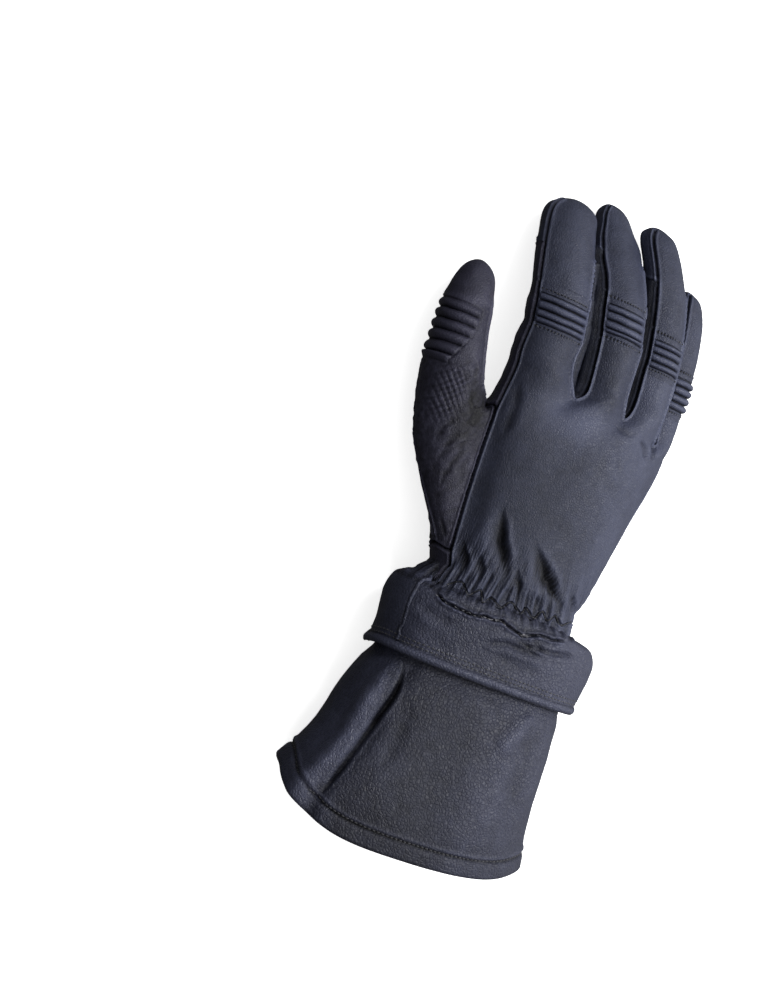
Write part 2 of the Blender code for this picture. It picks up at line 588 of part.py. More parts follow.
verts, quads, norms, back = cuff_grid(band_rows, WELT_DEG, binding, band_floor)
panel("band_binding", verts, norms, quads, BINDING_WALL, cuff_leather, lift=GAP + BINDING_WALL)

# Lining, zip and gauntlet
lining_rows = sized(LINING, BAND_LENGTH)
verts, quads, norms, back = cuff_grid(lining_rows, WELT_DEG, between(lining_top, lining_end, (0, 0.45, 1)))
panel("wrist_lining", verts, norms, quads, LINING_WALL, fleece)
gauntlet_rows = sized(GAUNTLET, BAND_LENGTH - CUFF, -BAND_LENGTH)
verts, quads, norms, back = cuff_grid(gauntlet_rows, FOLD_DEG, [lining_end, lambda a: zip_line(a) + GAP])
panel("zip_chain", verts, norms, quads, ZIP_WALL, metal)
y = zip_line(SLIDER_DEG) + ZIP / 2
x, z = oval(smooth_row(gauntlet_rows, y), SLIDER_DEG)
lean = math.radians(SLIDER_DEG)
away = SLIDER[2] / 2 + SLIDER_CLEAR
place = (x + away * math.cos(lean), y, z + away * math.sin(lean))
bpy.ops.mesh.primitive_cube_add(size=0.001, location=[c * 0.001 for c in place])
slider = bpy.context.object
slider.name = "zip_slider"
slider.scale = (SLIDER[2], SLIDER[1], SLIDER[0])
slider.rotation_euler = (0, -lean, 0)
slider.data.materials.append(metal)
bpy.context.collection.objects.unlink(slider)
COLLECTION.objects.link(slider)
OBJECTS.append(slider)
sides = between(zip_line, lambda a: hem_y(a) + HEM, (0, 0.08, 0.2, 0.42, 0.7, 1)) + [hem_y]
verts, quads, norms, back = cuff_grid(gauntlet_rows, FOLD_DEG, sides, 0.0, fold)
panel("gauntlet_back", verts, norms, quads[back], CUFF_WALL, cuff_leather)
panel("gauntlet_palm", verts, norms, quads[~back], CUFF_WALL, cuff_leather)
last_row = quads[-2 * COLUMNS:]
panel("hem_facing", verts, norms, last_row, HEM_WALL, cuff_leather, lift=-CUFF_WALL - GAP)

# Stand it on the floor, centred
corners = np.array([v.co for o in OBJECTS if o.type == "MESH" and o is not slider for v in o.data.vertices])
low, high = corners.min(0), corners.max(0)
origin = Vector(((low[0] + high[0]) / 2, (low[1] + high[1]) / 2, low[2]))
for obj in OBJECTS:
    obj.location -= origin
bpy.context.view_layer.update()
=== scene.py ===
"""Dressed scene of the motorcycle gauntlet glove: leather panels, ribs, seams, stitches, folds and zip."""
import itertools
import math

import bpy
import numpy as np
from mathutils import Matrix, Vector
from mathutils.bvhtree import BVHTree
from mathutils.kdtree import KDTree


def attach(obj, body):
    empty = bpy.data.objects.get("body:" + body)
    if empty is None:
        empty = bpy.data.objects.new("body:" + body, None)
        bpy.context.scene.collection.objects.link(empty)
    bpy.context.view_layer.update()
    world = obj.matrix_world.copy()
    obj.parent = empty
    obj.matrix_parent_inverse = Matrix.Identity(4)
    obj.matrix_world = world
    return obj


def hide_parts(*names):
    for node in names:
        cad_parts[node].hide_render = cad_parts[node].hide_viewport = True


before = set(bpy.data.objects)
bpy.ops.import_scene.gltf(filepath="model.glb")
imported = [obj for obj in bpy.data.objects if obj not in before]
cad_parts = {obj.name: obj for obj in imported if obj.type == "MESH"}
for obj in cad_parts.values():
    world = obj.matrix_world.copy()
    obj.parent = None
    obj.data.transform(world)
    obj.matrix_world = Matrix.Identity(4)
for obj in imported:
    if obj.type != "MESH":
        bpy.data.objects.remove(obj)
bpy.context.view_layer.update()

# Model millimetres to the frame
ORIGIN = np.array([-14.5148, 35.3949, -0.0042])
# The photograph's view: tilt to the thumb side, roll in the picture, distance and field height in mm
TILT, ROLL, DISTANCE, FIELD = math.radians(23), math.radians(22), 1100.0, 500.0
CENTRE = (-73.2, 24.4)  # middle of the picture in the view, in mm across and up
AIM = np.array([CENTRE[0] / math.cos(TILT), CENTRE[1], 30.0])
TOWARDS = np.array([-math.sin(TILT), 0.0, math.cos(TILT)])
ACROSS = np.array([math.cos(TILT), 0.0, math.sin(TILT)])

# Named sizes, in millimetres
HAND = 210.0      # wrist line to the tip of the longest finger
CUFF = 139.0      # wrist line to the hem of the gauntlet
WIDTH = 105.0     # across the knuckles
CUFF_WALL = 1.8   # wall of band and gauntlet
PATCH_WALL = 1.5  # wall of the patches sewn on the palm
BAND_LENGTH = 47.0  # wrist line to the hem of the short band
LINING_WALL = 2.0   # fleece inside the band
GAP = 0.36        # clear space left between two sewn pieces

# Fingers: a row per ring, from the web to the tip.
# y along the hand as a share of HAND; x, z, half width and half thickness as shares of WIDTH; roll in degrees.
FINGERS = {
    "index": [
        #  y       x       z      half_w  half_h  roll
        (0.5720, -0.302, 0.304, 0.1600, 0.1220, -8),
        (0.6306, -0.306, 0.308, 0.1570, 0.1190, -8),
        (0.6580, -0.312, 0.308, 0.1595, 0.1180, -8),
        (0.6853, -0.321, 0.305, 0.1595, 0.1175, -8),
        (0.7126, -0.331, 0.300, 0.1595, 0.1170, -8),
        (0.7419, -0.341, 0.290, 0.1595, 0.1165, -8),
        (0.8317, -0.366, 0.238, 0.1575, 0.1120, -8),
        (0.9166, -0.380, 0.168, 0.1400, 0.1010, -8),
        (0.9498, -0.378, 0.140, 0.0900, 0.0640, -8)],
    "middle": [
        (0.5740, 0.040, 0.330, 0.1260, 0.1200, 3),
        (0.6697, 0.014, 0.334, 0.1360, 0.1170, 3),
        (0.6960, 0.000, 0.333, 0.1385, 0.1165, 3),
        (0.7224, -0.013, 0.328, 0.1390, 0.1160, 3),
        (0.7487, -0.025, 0.320, 0.1385, 0.1150, 3),
        (0.7829, -0.038, 0.305, 0.1375, 0.1140, 3),
        (0.8717, -0.072, 0.206, 0.1310, 0.1080, 3),
        (0.9489, -0.102, 0.108, 0.1110, 0.0980, 3),
        (0.9840, -0.110, 0.084, 0.0700, 0.0620, 3)],
    "ring": [
        (0.5779, 0.304, 0.281, 0.1190, 0.1130, 15),
        (0.6365, 0.294, 0.281, 0.1250, 0.1110, 15),
        (0.6628, 0.291, 0.279, 0.1250, 0.1100, 15),
        (0.6892, 0.286, 0.273, 0.1250, 0.1090, 15),
        (0.7155, 0.278, 0.266, 0.1250, 0.1085, 15),
        (0.7497, 0.264, 0.259, 0.1230, 0.1070, 15),
        (0.8571, 0.210, 0.224, 0.1190, 0.1020, 15),
        (0.9450, 0.143, 0.158, 0.1080, 0.0940, 15),
        (0.9781, 0.129, 0.130, 0.0680, 0.0600, 15)],
    "little": [
        (0.5350, 0.505, 0.137, 0.1080, 0.1020, 35),
        (0.5662, 0.498, 0.140, 0.1150, 0.1030, 35),
        (0.5955, 0.500, 0.138, 0.1150, 0.1025, 35),
        (0.6248, 0.500, 0.136, 0.1150, 0.1020, 35),
        (0.6540, 0.497, 0.134, 0.1150, 0.1015, 35),
        (0.6911, 0.487, 0.131, 0.1140, 0.1005, 35),
        (0.7780, 0.464, 0.116, 0.1070, 0.0960, 35),
        (0.8434, 0.435, 0.106, 0.0930, 0.0860, 35),
        (0.8727, 0.423, 0.100, 0.0580, 0.0540, 35)]}
TIPS = {"index": (0.9645, -0.374, 0.118), "middle": (0.9986, -0.112, 0.072), "ring": (0.9928, 0.125, 0.114),
        "little": (0.8854, 0.417, 0.096)}
ORDER = ("index", "middle", "ring", "little")
SET_IN = ("middle", "ring")  # fingers whose front is a piece of its own; the other two are cut with the palm
FREE_FINGERS = 0.562  # share of HAND past which the fingers rest on the floor themselves, not on the patches
FADE = 15.0       # length over which the palm comes down to them
SEAM_DEG = 60.0   # where the long seams run on a finger, from the middle of its back

# Hand: rows of twenty points from the radial seam over the back, round the little-finger side, back under
# the palm and up the thumb side. Here and below x and z are shares of WIDTH, and y is a share of HAND.
SEAM_ANGLES = ([153 - 15.75 * i for i in range(9)] + [0] + [-27 - 15.75 * i for i in range(9)] + [180])
WRIST = [
    #  y       cx       cz      a       top     under
    (-0.0381, -0.0352, 0.2619, 0.4324, 0.2429, 0.2286),
    (0.0143, -0.0305, 0.2571, 0.4048, 0.2333, 0.2152)]
HAND_ROWS = [
    (0.0619, [(-0.405, 0.362), (-0.324, 0.425), (-0.214, 0.469), (-0.086, 0.495), (0.038, 0.495), (0.158, 0.474),
             (0.266, 0.433), (0.353, 0.371), (0.405, 0.295), (0.419, 0.229), (0.384, 0.114), (0.290, 0.052),
             (0.168, 0.029), (0.038, 0.021), (-0.086, 0.021), (-0.210, 0.029), (-0.314, 0.052), (-0.395, 0.114),
             (-0.453, 0.210), (-0.461, 0.295)]),
    (0.2333, [(-0.435, 0.352), (-0.343, 0.419), (-0.210, 0.470), (-0.067, 0.492), (0.076, 0.490), (0.210, 0.463),
             (0.338, 0.406), (0.443, 0.320), (0.499, 0.219), (0.510, 0.152), (0.469, 0.076), (0.373, 0.038),
             (0.248, 0.029), (0.114, 0.038), (-0.029, 0.057), (-0.171, 0.057), (-0.305, 0.057), (-0.410, 0.095),
             (-0.467, 0.190), (-0.476, 0.276)]),
    (0.4143, [(-0.448, 0.333), (-0.362, 0.400), (-0.238, 0.443), (-0.086, 0.467), (0.067, 0.471), (0.210, 0.446),
             (0.343, 0.389), (0.472, 0.299), (0.570, 0.186), (0.587, 0.114), (0.545, 0.057), (0.448, 0.040),
             (0.324, 0.057), (0.181, 0.090), (0.038, 0.119), (-0.114, 0.129), (-0.257, 0.129), (-0.381, 0.148),
             (-0.457, 0.200), (-0.471, 0.267)])]
# Web row: (x, y, z). Back: seam, index, web, middle, web, ring, web, little, seam; then the side; then the palm.
WEB_ROW = [
    (-0.434, 0.5238, 0.337), (-0.286, 0.5286, 0.427), (-0.095, 0.5096, 0.377), (0.048, 0.5333, 0.450),
    (0.194, 0.5143, 0.368), (0.324, 0.5238, 0.392), (0.444, 0.4904, 0.269), (0.543, 0.4858, 0.248),
    (0.594, 0.4762, 0.135), (0.581, 0.4810, 0.086), (0.539, 0.4904, 0.051), (0.438, 0.5048, 0.057),
    (0.390, 0.5096, 0.171), (0.267, 0.5238, 0.167), (0.171, 0.5333, 0.248), (0.038, 0.5286, 0.208),
    (-0.110, 0.5143, 0.240), (-0.286, 0.5238, 0.171), (-0.419, 0.5238, 0.219), (-0.448, 0.5238, 0.276)]
WEB_MID = [(-0.105, 0.4972, 0.305), (0.177, 0.5028, 0.305), (0.413, 0.4810, 0.215)]

# Thumb: medial point, lateral point, half thickness and roll in degrees, from the hand to the tip.
THUMB_RINGS = [
    # medial x  y       z       lateral x  y     z      half_h  roll
    (-0.500, 0.4285, 0.290, -0.633, 0.1952, 0.229, 0.1200, -8),
    (-0.538, 0.4476, 0.319, -0.773, 0.3286, 0.176, 0.1410, -22),
    (-0.577, 0.4666, 0.349, -0.836, 0.4572, 0.158, 0.1467, -35),
    (-0.592, 0.4924, 0.342, -0.844, 0.4838, 0.154, 0.1448, -35),
    (-0.606, 0.5181, 0.333, -0.848, 0.5114, 0.150, 0.1419, -35),
    (-0.617, 0.5438, 0.324, -0.850, 0.5391, 0.146, 0.1390, -35),
    (-0.627, 0.5695, 0.314, -0.849, 0.5667, 0.141, 0.1352, -35),
    (-0.634, 0.5953, 0.304, -0.844, 0.5933, 0.136, 0.1314, -35),
    (-0.639, 0.6210, 0.292, -0.838, 0.6210, 0.132, 0.1257, -35),
    (-0.657, 0.6762, 0.259, -0.813, 0.6762, 0.126, 0.1048, -35),
    (-0.688, 0.7143, 0.223, -0.781, 0.7143, 0.139, 0.0629, -35)]
THUMB_TIP = (-0.737, 0.7333, 0.171)

# Band and gauntlet: ovals down the forearm, the rest as shares of WIDTH.
# y of band and lining is a share of BAND_LENGTH; the gauntlet's runs from the band's hem (0) to CUFF (1).
BAND = [
    #  y       cx       cz      a       top     under
    (-0.0426, -0.0486, 0.2667, 0.4581, 0.2724, 0.2476),
    (-0.1170, -0.0448, 0.2724, 0.5067, 0.2819, 0.2648),
    (-0.2340, -0.0248, 0.2762, 0.5505, 0.2876, 0.2819),
    (-0.4043, -0.0152, 0.2800, 0.5714, 0.2914, 0.2895),
    (-0.7021, -0.0105, 0.2819, 0.5619, 0.2914, 0.2914),
    (-1.0000, -0.0229, 0.2838, 0.5581, 0.3010, 0.2933)]
LINING = [
    (-0.2043, -0.0400, 0.2667, 0.4152, 0.2381, 0.2229),
    (-0.4681, -0.0210, 0.2762, 0.4819, 0.2533, 0.2381),
    (-0.9787, -0.0238, 0.2857, 0.5162, 0.2686, 0.2629)]
GAUNTLET = [
    #  down     cx       cz      a       top     under
    (-0.1196, -0.0219, 0.2857, 0.5086, 0.2629, 0.2514),
    (-0.0109, -0.0257, 0.2876, 0.5181, 0.2705, 0.2743),
    (0.0761, -0.0400, 0.2933, 0.5448, 0.2952, 0.3029),
    (0.2283, -0.0648, 0.3048, 0.5733, 0.3143, 0.3238),
    (0.4891, -0.0886, 0.3181, 0.6067, 0.3333, 0.3429),
    (0.6630, -0.1181, 0.3276, 0.6495, 0.3429, 0.3562),
    (0.8152, -0.1381, 0.3333, 0.7048, 0.3486, 0.3638),
    (1.0000, -0.1362, 0.3352, 0.7362, 0.3505, 0.3657)]
# Hem of the gauntlet as shares of CUFF, every 30 degrees round from the little-finger side over the back
HEM_LINE = (0.906, 0.932, 0.980, 0.999, 0.989, 0.919, 0.838, 0.835, 0.850, 0.862, 0.872, 0.890)
POWER = 2.3            # squareness of the ovals
WELT_DEG = 153.0       # welt on the thumb side of the band
FOLD_DEG = 136.0       # gauntlet seam beside its fold
FAR_SEAM_DEG = -24.0   # the matching seams on the little-finger side
PALM_FROM_DEG = 190.0  # where the band's arch starts round the wrist, in degrees
PALM_SPAN_DEG = 160.0  # and how far it goes
LIFT = 1.1             # clear height of a patch over the curved palm
TUCK = 6.0             # band over the top of the gauntlet, at the back
PALM_RISE = 30.0       # how far the band's hem arches up on the palm side
ZIP = 4.4              # width of the zip chain
ZIP_DIP = 9.0          # how far the zip runs down on the palm side
HEM = 10.0             # turned hem of the gauntlet
BINDING = 4.0          # binding of the band's hem
BINDING_WALL = 0.9     # thickness of the binding
BINDING_LIP = 0.6      # binding past the hem's cut edge
PIPE = 0.9             # radius of the welt on the band
SLIDER = (8.0, 5.6, 2.4)   # zip slider: length round the wrist, width, thickness
SLIDER_DEG = 306.0     # where the slider stands, on the palm side
SLIDER_CLEAR = 1.8     # clear space under the slider
HEM_WALL = 1.2         # leather turned inside the hem
PAD_PUFF = 2.0         # how far the knuckle pad puffs out
PLEAT_DEG = 12.0       # width of the gauntlet's pleat, in degrees
PLEAT_RIDGE = 3.4      # height of its ridge
PLEAT_CREASE = 1.6     # depth of its crease
PLEAT_RUN = 30.0       # length over which it grows from under the band
CUFF_RADIUS = 55.0     # mean radius of the cuff, to measure along it
BAND_TOP = BAND_LENGTH * BAND[0][0]
LINING_TOP = BAND_LENGTH * LINING[0][0]

# Patches on the palm, a column per entry: x, lower y, upper y, and how far it puffs out as a share of PAD_PUFF.
HEEL_PATCH = [
    (-0.333, 0.1240, 0.2235, 0.0), (-0.276, 0.0381, 0.2099, 0.1), (-0.181, 0.0176, 0.1620, 0.15),
    (-0.076, 0.0166, 0.1289, 0.15), (0.038, 0.0166, 0.1191, 0.15), (0.143, 0.0166, 0.1337, 0.15),
    (0.238, 0.0176, 0.1572, 0.1), (0.305, 0.0283, 0.1757, 0.0)]
KNUCKLE_PAD = [
    (-0.210, 0.3807, 0.4090, 0.0), (-0.133, 0.3622, 0.4520, 0.4), (-0.048, 0.3426, 0.4813, 0.8),
    (0.038, 0.3290, 0.4900, 1.0), (0.124, 0.3192, 0.4715, 0.8), (0.200, 0.3143, 0.4715, 0.8),
    (0.276, 0.3143, 0.4813, 1.0), (0.352, 0.3192, 0.4520, 0.7), (0.419, 0.3339, 0.4481, 0.4),
    (0.476, 0.3622, 0.4237, 0.0)]
PATCH_ROWS = 50        # rows of a patch's grid, from its lower to its upper edge


def at(x, y, z):
    """Point in millimetres from shares of WIDTH, HAND and WIDTH."""
    return WIDTH * x, HAND * y, WIDTH * z


def sized(table, length, start=0.0):
    """Oval rows in millimetres: y as a share of a length from a start, the rest of WIDTH."""
    return [(start + length * y, *(WIDTH * share for share in rest)) for y, *rest in table]


def oval(row, deg):
    """Point (x, z) of an oval row at an angle; 0 is the little-finger side, 90 the back."""
    _, cx, cz, a, top, under = row
    c, s = math.cos(math.radians(deg)), math.sin(math.radians(deg))
    e = 2.0 / POWER
    x = cx + a * math.copysign(abs(c) ** e, c)
    z = cz + (top if s > 0 else under) * math.copysign(abs(s) ** e, s)
    return x, z


def smooth_row(table, y):
    """Row of an oval table at any y, on a smooth curve through its rows."""
    k = 0
    while k < len(table) - 2 and y < table[k + 1][0]:
        k += 1
    h = table[k + 1][0] - table[k][0]
    t = min(max((y - table[k][0]) / h, 0.0), 1.0)
    out = [y]
    for c in range(1, 6):
        p1, p2 = table[k][c], table[k + 1][c]
        m1 = m2 = p2 - p1
        if k:
            m1 = (p2 - table[k - 1][c]) / (table[k + 1][0] - table[k - 1][0]) * h
        if k + 2 < len(table):
            m2 = (table[k + 2][c] - p1) / (table[k + 2][0] - table[k][0]) * h
        out.append((2 * t ** 3 - 3 * t ** 2 + 1) * p1 + (t ** 3 - 2 * t ** 2 + t) * m1
                   + (-2 * t ** 3 + 3 * t ** 2) * p2 + (t ** 3 - t ** 2) * m2)
    return tuple(out)


def to_limit(verts, faces):
    """Where each point of a cage of quads ends up on its smooth surface."""
    pairs = np.stack([faces, np.roll(faces, -1, 1)], 2).reshape(-1, 2)
    edges, count = np.unique(np.sort(pairs, 1), axis=0, return_counts=True)
    n = len(verts)
    val, ring, far = np.zeros(n), np.zeros((n, 3)), np.zeros((n, 3))
    np.add.at(val, edges.ravel(), 1)
    np.add.at(ring, edges[:, 0], verts[edges[:, 1]])
    np.add.at(ring, edges[:, 1], verts[edges[:, 0]])
    for c in range(4):
        np.add.at(far, faces[:, c], verts[faces[:, (c + 2) % 4]])
    out = ((val ** 2)[:, None] * verts + 4 * ring + far) / (val * (val + 5))[:, None]
    rim_edges = edges[count == 1]
    rim = np.unique(rim_edges)
    along = np.zeros((n, 3))
    np.add.at(along, rim_edges[:, 0], verts[rim_edges[:, 1]])
    np.add.at(along, rim_edges[:, 1], verts[rim_edges[:, 0]])
    out[rim] = (4 * verts[rim] + along[rim]) / 6
    return out


def through(points, quads, free, rounds=14):
    """Cage whose smooth surface passes through the given points, except for the free ones."""
    cage = points.copy()
    for _ in range(rounds):
        step = points - to_limit(cage, quads)
        step[free] = 0
        cage += step
    return cage


def normals(verts, faces, eased=0):
    """Normals of the points, averaged with their neighbours a few times where walls meet in a tight fork."""
    p = verts[faces]
    face_normal = np.cross(p[:, 2] - p[:, 0], p[:, 3] - p[:, 1])
    out = np.zeros_like(verts)
    for c in range(4):
        np.add.at(out, faces[:, c], face_normal)
    out /= np.linalg.norm(out, axis=1, keepdims=True)
    for _ in range(eased):
        around = out.copy()
        for c in range(4):
            np.add.at(around, faces[:, c], out[faces[:, (c + 1) % 4]])
        out = around / np.linalg.norm(around, axis=1, keepdims=True)
    return out


def finger_ring(row):
    """Eight points of a finger section: back, seam, side, seam, palm, seam, side, seam (towards +X first)."""
    y, x, z, half_w, half_h, roll = row
    c, s = math.cos(math.radians(roll)), math.sin(math.radians(roll))
    out = []
    for deg in (0, SEAM_DEG, 90, 180 - SEAM_DEG, 180, 180 + SEAM_DEG, 270, 360 - SEAM_DEG):
        u, v = half_w * math.sin(math.radians(deg)), half_h * math.cos(math.radians(deg))
        out.append(at(x + u * c + v * s, y, z - u * s + v * c))
    return out


def thumb_ring(row):
    """Eight points: medial, then over the palm side to the lateral point, then over the back."""
    medial, lateral = np.array(at(*row[:3])), np.array(at(*row[3:6]))
    half_h, roll = WIDTH * row[6], math.radians(row[7])
    axis = (lateral - medial) / np.linalg.norm(lateral - medial)
    up = np.array([math.sin(roll), 0.0, math.cos(roll)])
    up -= axis * up.dot(axis)
    up /= np.linalg.norm(up)
    out = []
    for i in range(8):
        a = math.radians(45 * i)
        out.append(tuple(medial + (lateral - medial) * (1 - math.cos(a)) / 2 - up * half_h * math.sin(a)))
    return out


def hand_cage():
    """Points the skin passes through, its quads, the panel of each quad and the points that start a rib."""
    pts, quads, names = [], [], []
    rib_line = {}

    def add(p):
        pts.append(p)
        return len(pts) - 1

    def quad(a, b, c, d, name):
        quads.append((a, b, c, d))
        names.append(name)

    rows = [[add((oval(row, deg)[0], row[0], oval(row, deg)[1])) for deg in SEAM_ANGLES]
            for row in sized(WRIST, HAND)]
    for y, ring in HAND_ROWS:
        rows.append([add(at(x, y, z)) for x, z in ring])
    rows.append([add(at(*p)) for p in WEB_ROW])
    mids = [add(at(*p)) for p in WEB_MID]
    thumb_hole = [(2, 18), (2, 19), (3, 18), (3, 19)]
    for r in range(len(rows) - 1):
        for j in range(20):
            k = (j + 1) % 20
            if (r, j) not in thumb_hole:
                quad(rows[r][j], rows[r][k], rows[r + 1][k], rows[r + 1][j], "back" if j < 8 else "palm")
    top = rows[-1]
    for f, finger in enumerate(ORDER):
        near, far = 2 * f, 16 - 2 * f
        side_plus = mids[f] if f < 3 else top[9]
        side_minus = mids[f - 1] if f else top[19]
        prev = [top[near + 1], top[near + 2], side_plus, top[far], top[far + 1], top[far + 2], side_minus, top[near]]
        front = "front_" + finger if finger in SET_IN else "palm"
        plus = "side_" + finger if f < 3 else front
        minus = "side_" + ORDER[f - 1] if f else front
        for n, row in enumerate(FINGERS[finger]):
            ring = [add(p) for p in finger_ring(row)]
            back = "back" if n < 2 else "ribs_" + finger if n < 6 else "tip_" + finger
            around = [back, plus, plus, front, front, minus, minus, back]
            if n > 6:
                around = ["tip_" + finger] * 8
            for i in range(8):
                k = (i + 1) % 8
                quad(prev[i], prev[k], ring[k], ring[i], around[i])
                rib_line[ring[i]] = n
            prev = ring
        y, x, z = TIPS[finger]
        tip = add(at(x, y, z))
        rib_line[tip] = n + 1
        for i in (1, 3, 5, 7):
            quad(prev[i], prev[(i + 1) % 8], prev[(i + 2) % 8], tip, "tip_" + finger)
    web, middle, heel = rows[4], rows[3], rows[2]
    prev = [web[19], web[18], middle[18], heel[18], heel[19], heel[0], middle[0], web[0]]
    for n, row in enumerate(THUMB_RINGS):
        ring = [add(p) for p in thumb_ring(row)]
        for i in range(8):
            k = (i + 1) % 8
            back = "ribs_thumb" if 3 <= n <= 8 and 4 <= i <= 6 else "thumb_back"
            quad(prev[i], prev[k], ring[k], ring[i], "thumb_front" if i < 4 else back)
            rib_line[ring[i]] = n
        prev = ring
    tip = add(at(*THUMB_TIP))
    rib_line[tip] = n + 1
    for i in (0, 2, 4, 6):
        quad(prev[i], prev[i + 1], prev[(i + 2) % 8], tip, "thumb_front" if i < 4 else "thumb_back")
    used = np.unique(quads)
    lines = np.array([rib_line.get(int(i), 0) for i in used])
    return np.array(pts, float)[used], np.searchsorted(used, np.array(quads)), names, lines, np.isin(used, mids)


def spline(a, b, c, d, t):
    """Between b and c on a smooth curve through a, b, c and d."""
    return b + t * (c - a + t * (2 * a - 5 * b + 4 * c - d + t * (3 * b - a - 3 * c + d))) / 2


def palm_bump(deg):
    """0 over the back and sides, 1 under the middle of the palm."""
    d = (deg - PALM_FROM_DEG) % 360
    return math.sin(math.pi * d / PALM_SPAN_DEG) ** 2 if d < PALM_SPAN_DEG else 0.0


def hem_y(deg):
    """Hem of the gauntlet on a smooth curve through HEM_LINE: longest over the back."""
    at_deg = deg / 360 * len(HEM_LINE)
    k, t = math.floor(at_deg), at_deg % 1
    a, b, c, d = (HEM_LINE[(k + n) % len(HEM_LINE)] for n in (-1, 0, 1, 2))
    return -CUFF * spline(a, b, c, d, t)


def zip_line(deg):
    """Lower edge of the zip, where the gauntlet starts."""
    return -BAND_LENGTH + TUCK - ZIP_DIP * palm_bump(deg)


def lining_end(deg):
    """Upper edge of the zip, where the fleece ends."""
    return zip_line(deg) + ZIP


def mid_zip(deg):
    """Middle of the zip."""
    return (lining_end(deg) + zip_line(deg)) / 2


def band_hem(deg):
    """Hem of the band, arched over the palm side."""
    return -BAND_LENGTH + PALM_RISE * palm_bump(deg)


def fold(deg, y):
    """The pleat beside the gauntlet's seam: a crease on the seam and a ridge next to it."""
    t = (deg - FOLD_DEG) / PLEAT_DEG
    grow = min(1.0, max(0.0, (-BAND_LENGTH + TUCK - y) / PLEAT_RUN))
    return grow * (PLEAT_RIDGE * math.exp(-((t - 1.0) * 1.6) ** 2) - PLEAT_CREASE * math.exp(-(t * 3.0) ** 2))


def view_of(p):
    """Where points in model mm are in the photograph's view, in mm: (across, up)."""
    q = p - AIM
    near = DISTANCE / (DISTANCE - q @ TOWARDS)
    return np.stack([CENTRE[0] + (q @ ACROSS) * near, CENTRE[1] + q[:, 1] * near], 1)


def noise(p, cell, seed):
    """Smooth seeded noise from -1 to 1, with cells of a size in mm."""
    q = np.asarray(p, float) / cell + seed * 17.31
    base = np.floor(q).astype(np.int64)
    t = q - base
    t = t * t * (3 - 2 * t)
    out = np.zeros(len(q))
    for corner in itertools.product((0, 1), repeat=q.shape[1]):
        at_corner = base + corner
        h = np.full(len(q), seed * 668265263, np.int64)
        for axis, prime in zip(range(q.shape[1]), (374761393, 1103515245, 2246822519)):
            h = (h ^ (at_corner[:, axis] * prime)) & 0x7FFFFFFF
            h = ((h ^ (h >> 13)) * 1274126177) & 0x7FFFFFFF
        h ^= h >> 16
        weight = np.prod(np.where(corner, t, 1 - t), 1)
        out += weight * ((h & 0xFFFF) / 32767.5 - 1)
    return out


def step(x, low, high):
    """Smooth rise from 0 at low to 1 at high."""
    t = np.clip((x - low) / (high - low), 0, 1)
    return t * t * (3 - 2 * t)


def bell(x, middle, width, power=2):
    """1 at the middle, falling to nearly 0 past two widths; a higher power makes it flatter on top."""
    return np.exp(-((x - middle) / width) ** power)


def astray(view, p, size, cell, seed):
    """Places of the view moved about a little, so that a crease drawn on them wanders."""
    return view + size * np.stack([noise(p, cell, seed), noise(p, cell, seed + 1)], 1)


def curve(line, spacing=0.8):
    """Smooth line through a few points, close enough together to measure from."""
    pts = np.asarray(line, float)
    ext = np.vstack([2 * pts[0] - pts[1], pts, 2 * pts[-1] - pts[-2]])
    out = []
    for a, b, c, d in zip(ext[:-3], ext[1:-2], ext[2:-1], ext[3:]):
        n = max(2, int(np.linalg.norm(c - b) / spacing))
        for t in np.arange(n) / n:
            out.append(spline(a, b, c, d, t))
    return np.vstack([out, pts[-1]])


def stroke(view, line, width, depth, lip, fade, skew=0.0):
    """A crease along a line of the view: how far it goes in (negative) with a soft lip beside it."""
    line = curve(line, 1.6)
    out = np.zeros(len(view))
    margin = width * 5
    near = np.all((view > line.min(0) - margin) & (view < line.max(0) + margin), 1)
    v = view[near]
    if not len(v):
        return out
    best, along, right = np.full(len(v), 1e9), np.zeros(len(v)), np.zeros(len(v), bool)
    run = 0.0
    for a, b in zip(line[:-1], line[1:]):
        ab = b - a
        length = np.linalg.norm(ab)
        t = np.clip((v - a) @ ab / length ** 2, 0, 1)
        d = np.linalg.norm(v - a - t[:, None] * ab, axis=1)
        closer = d < best
        best[closer], along[closer] = d[closer], (run + t * length)[closer]
        right[closer] = ((ab[0] * (v - a)[:, 1] - ab[1] * (v - a)[:, 0]) > 0)[closer]
        run += length
    s = along / run
    taper = step(np.minimum(s, 1 - s) / fade, 0, 1)
    d = best / (0.45 + 0.55 * taper) / np.where(right, 1 - 0.6 * skew, 1 + skew)
    out[near] = depth * taper * (lip * bell(d, 2.1 * width, width) - bell(d, 0, width))
    return out


def strokes(view, facing, table, lip=0.3, skew=0.0, fade=0.25):
    """Sum of creases given as (line, width, depth)."""
    out = np.zeros(len(view))
    for line, width, depth in table:
        out += stroke(view, line, width, depth, lip, fade, skew)
    return out * step(facing, 0.0, 0.25)


def edge_table(faces):
    """Edges of quads, the four edges of each quad and how many quads share each edge."""
    pairs = np.stack([faces, np.roll(faces, -1, 1)], 2).reshape(-1, 2)
    edges, inverse, count = np.unique(np.sort(pairs, 1), axis=0, return_inverse=True, return_counts=True)
    return edges, inverse.reshape(-1, 4), count


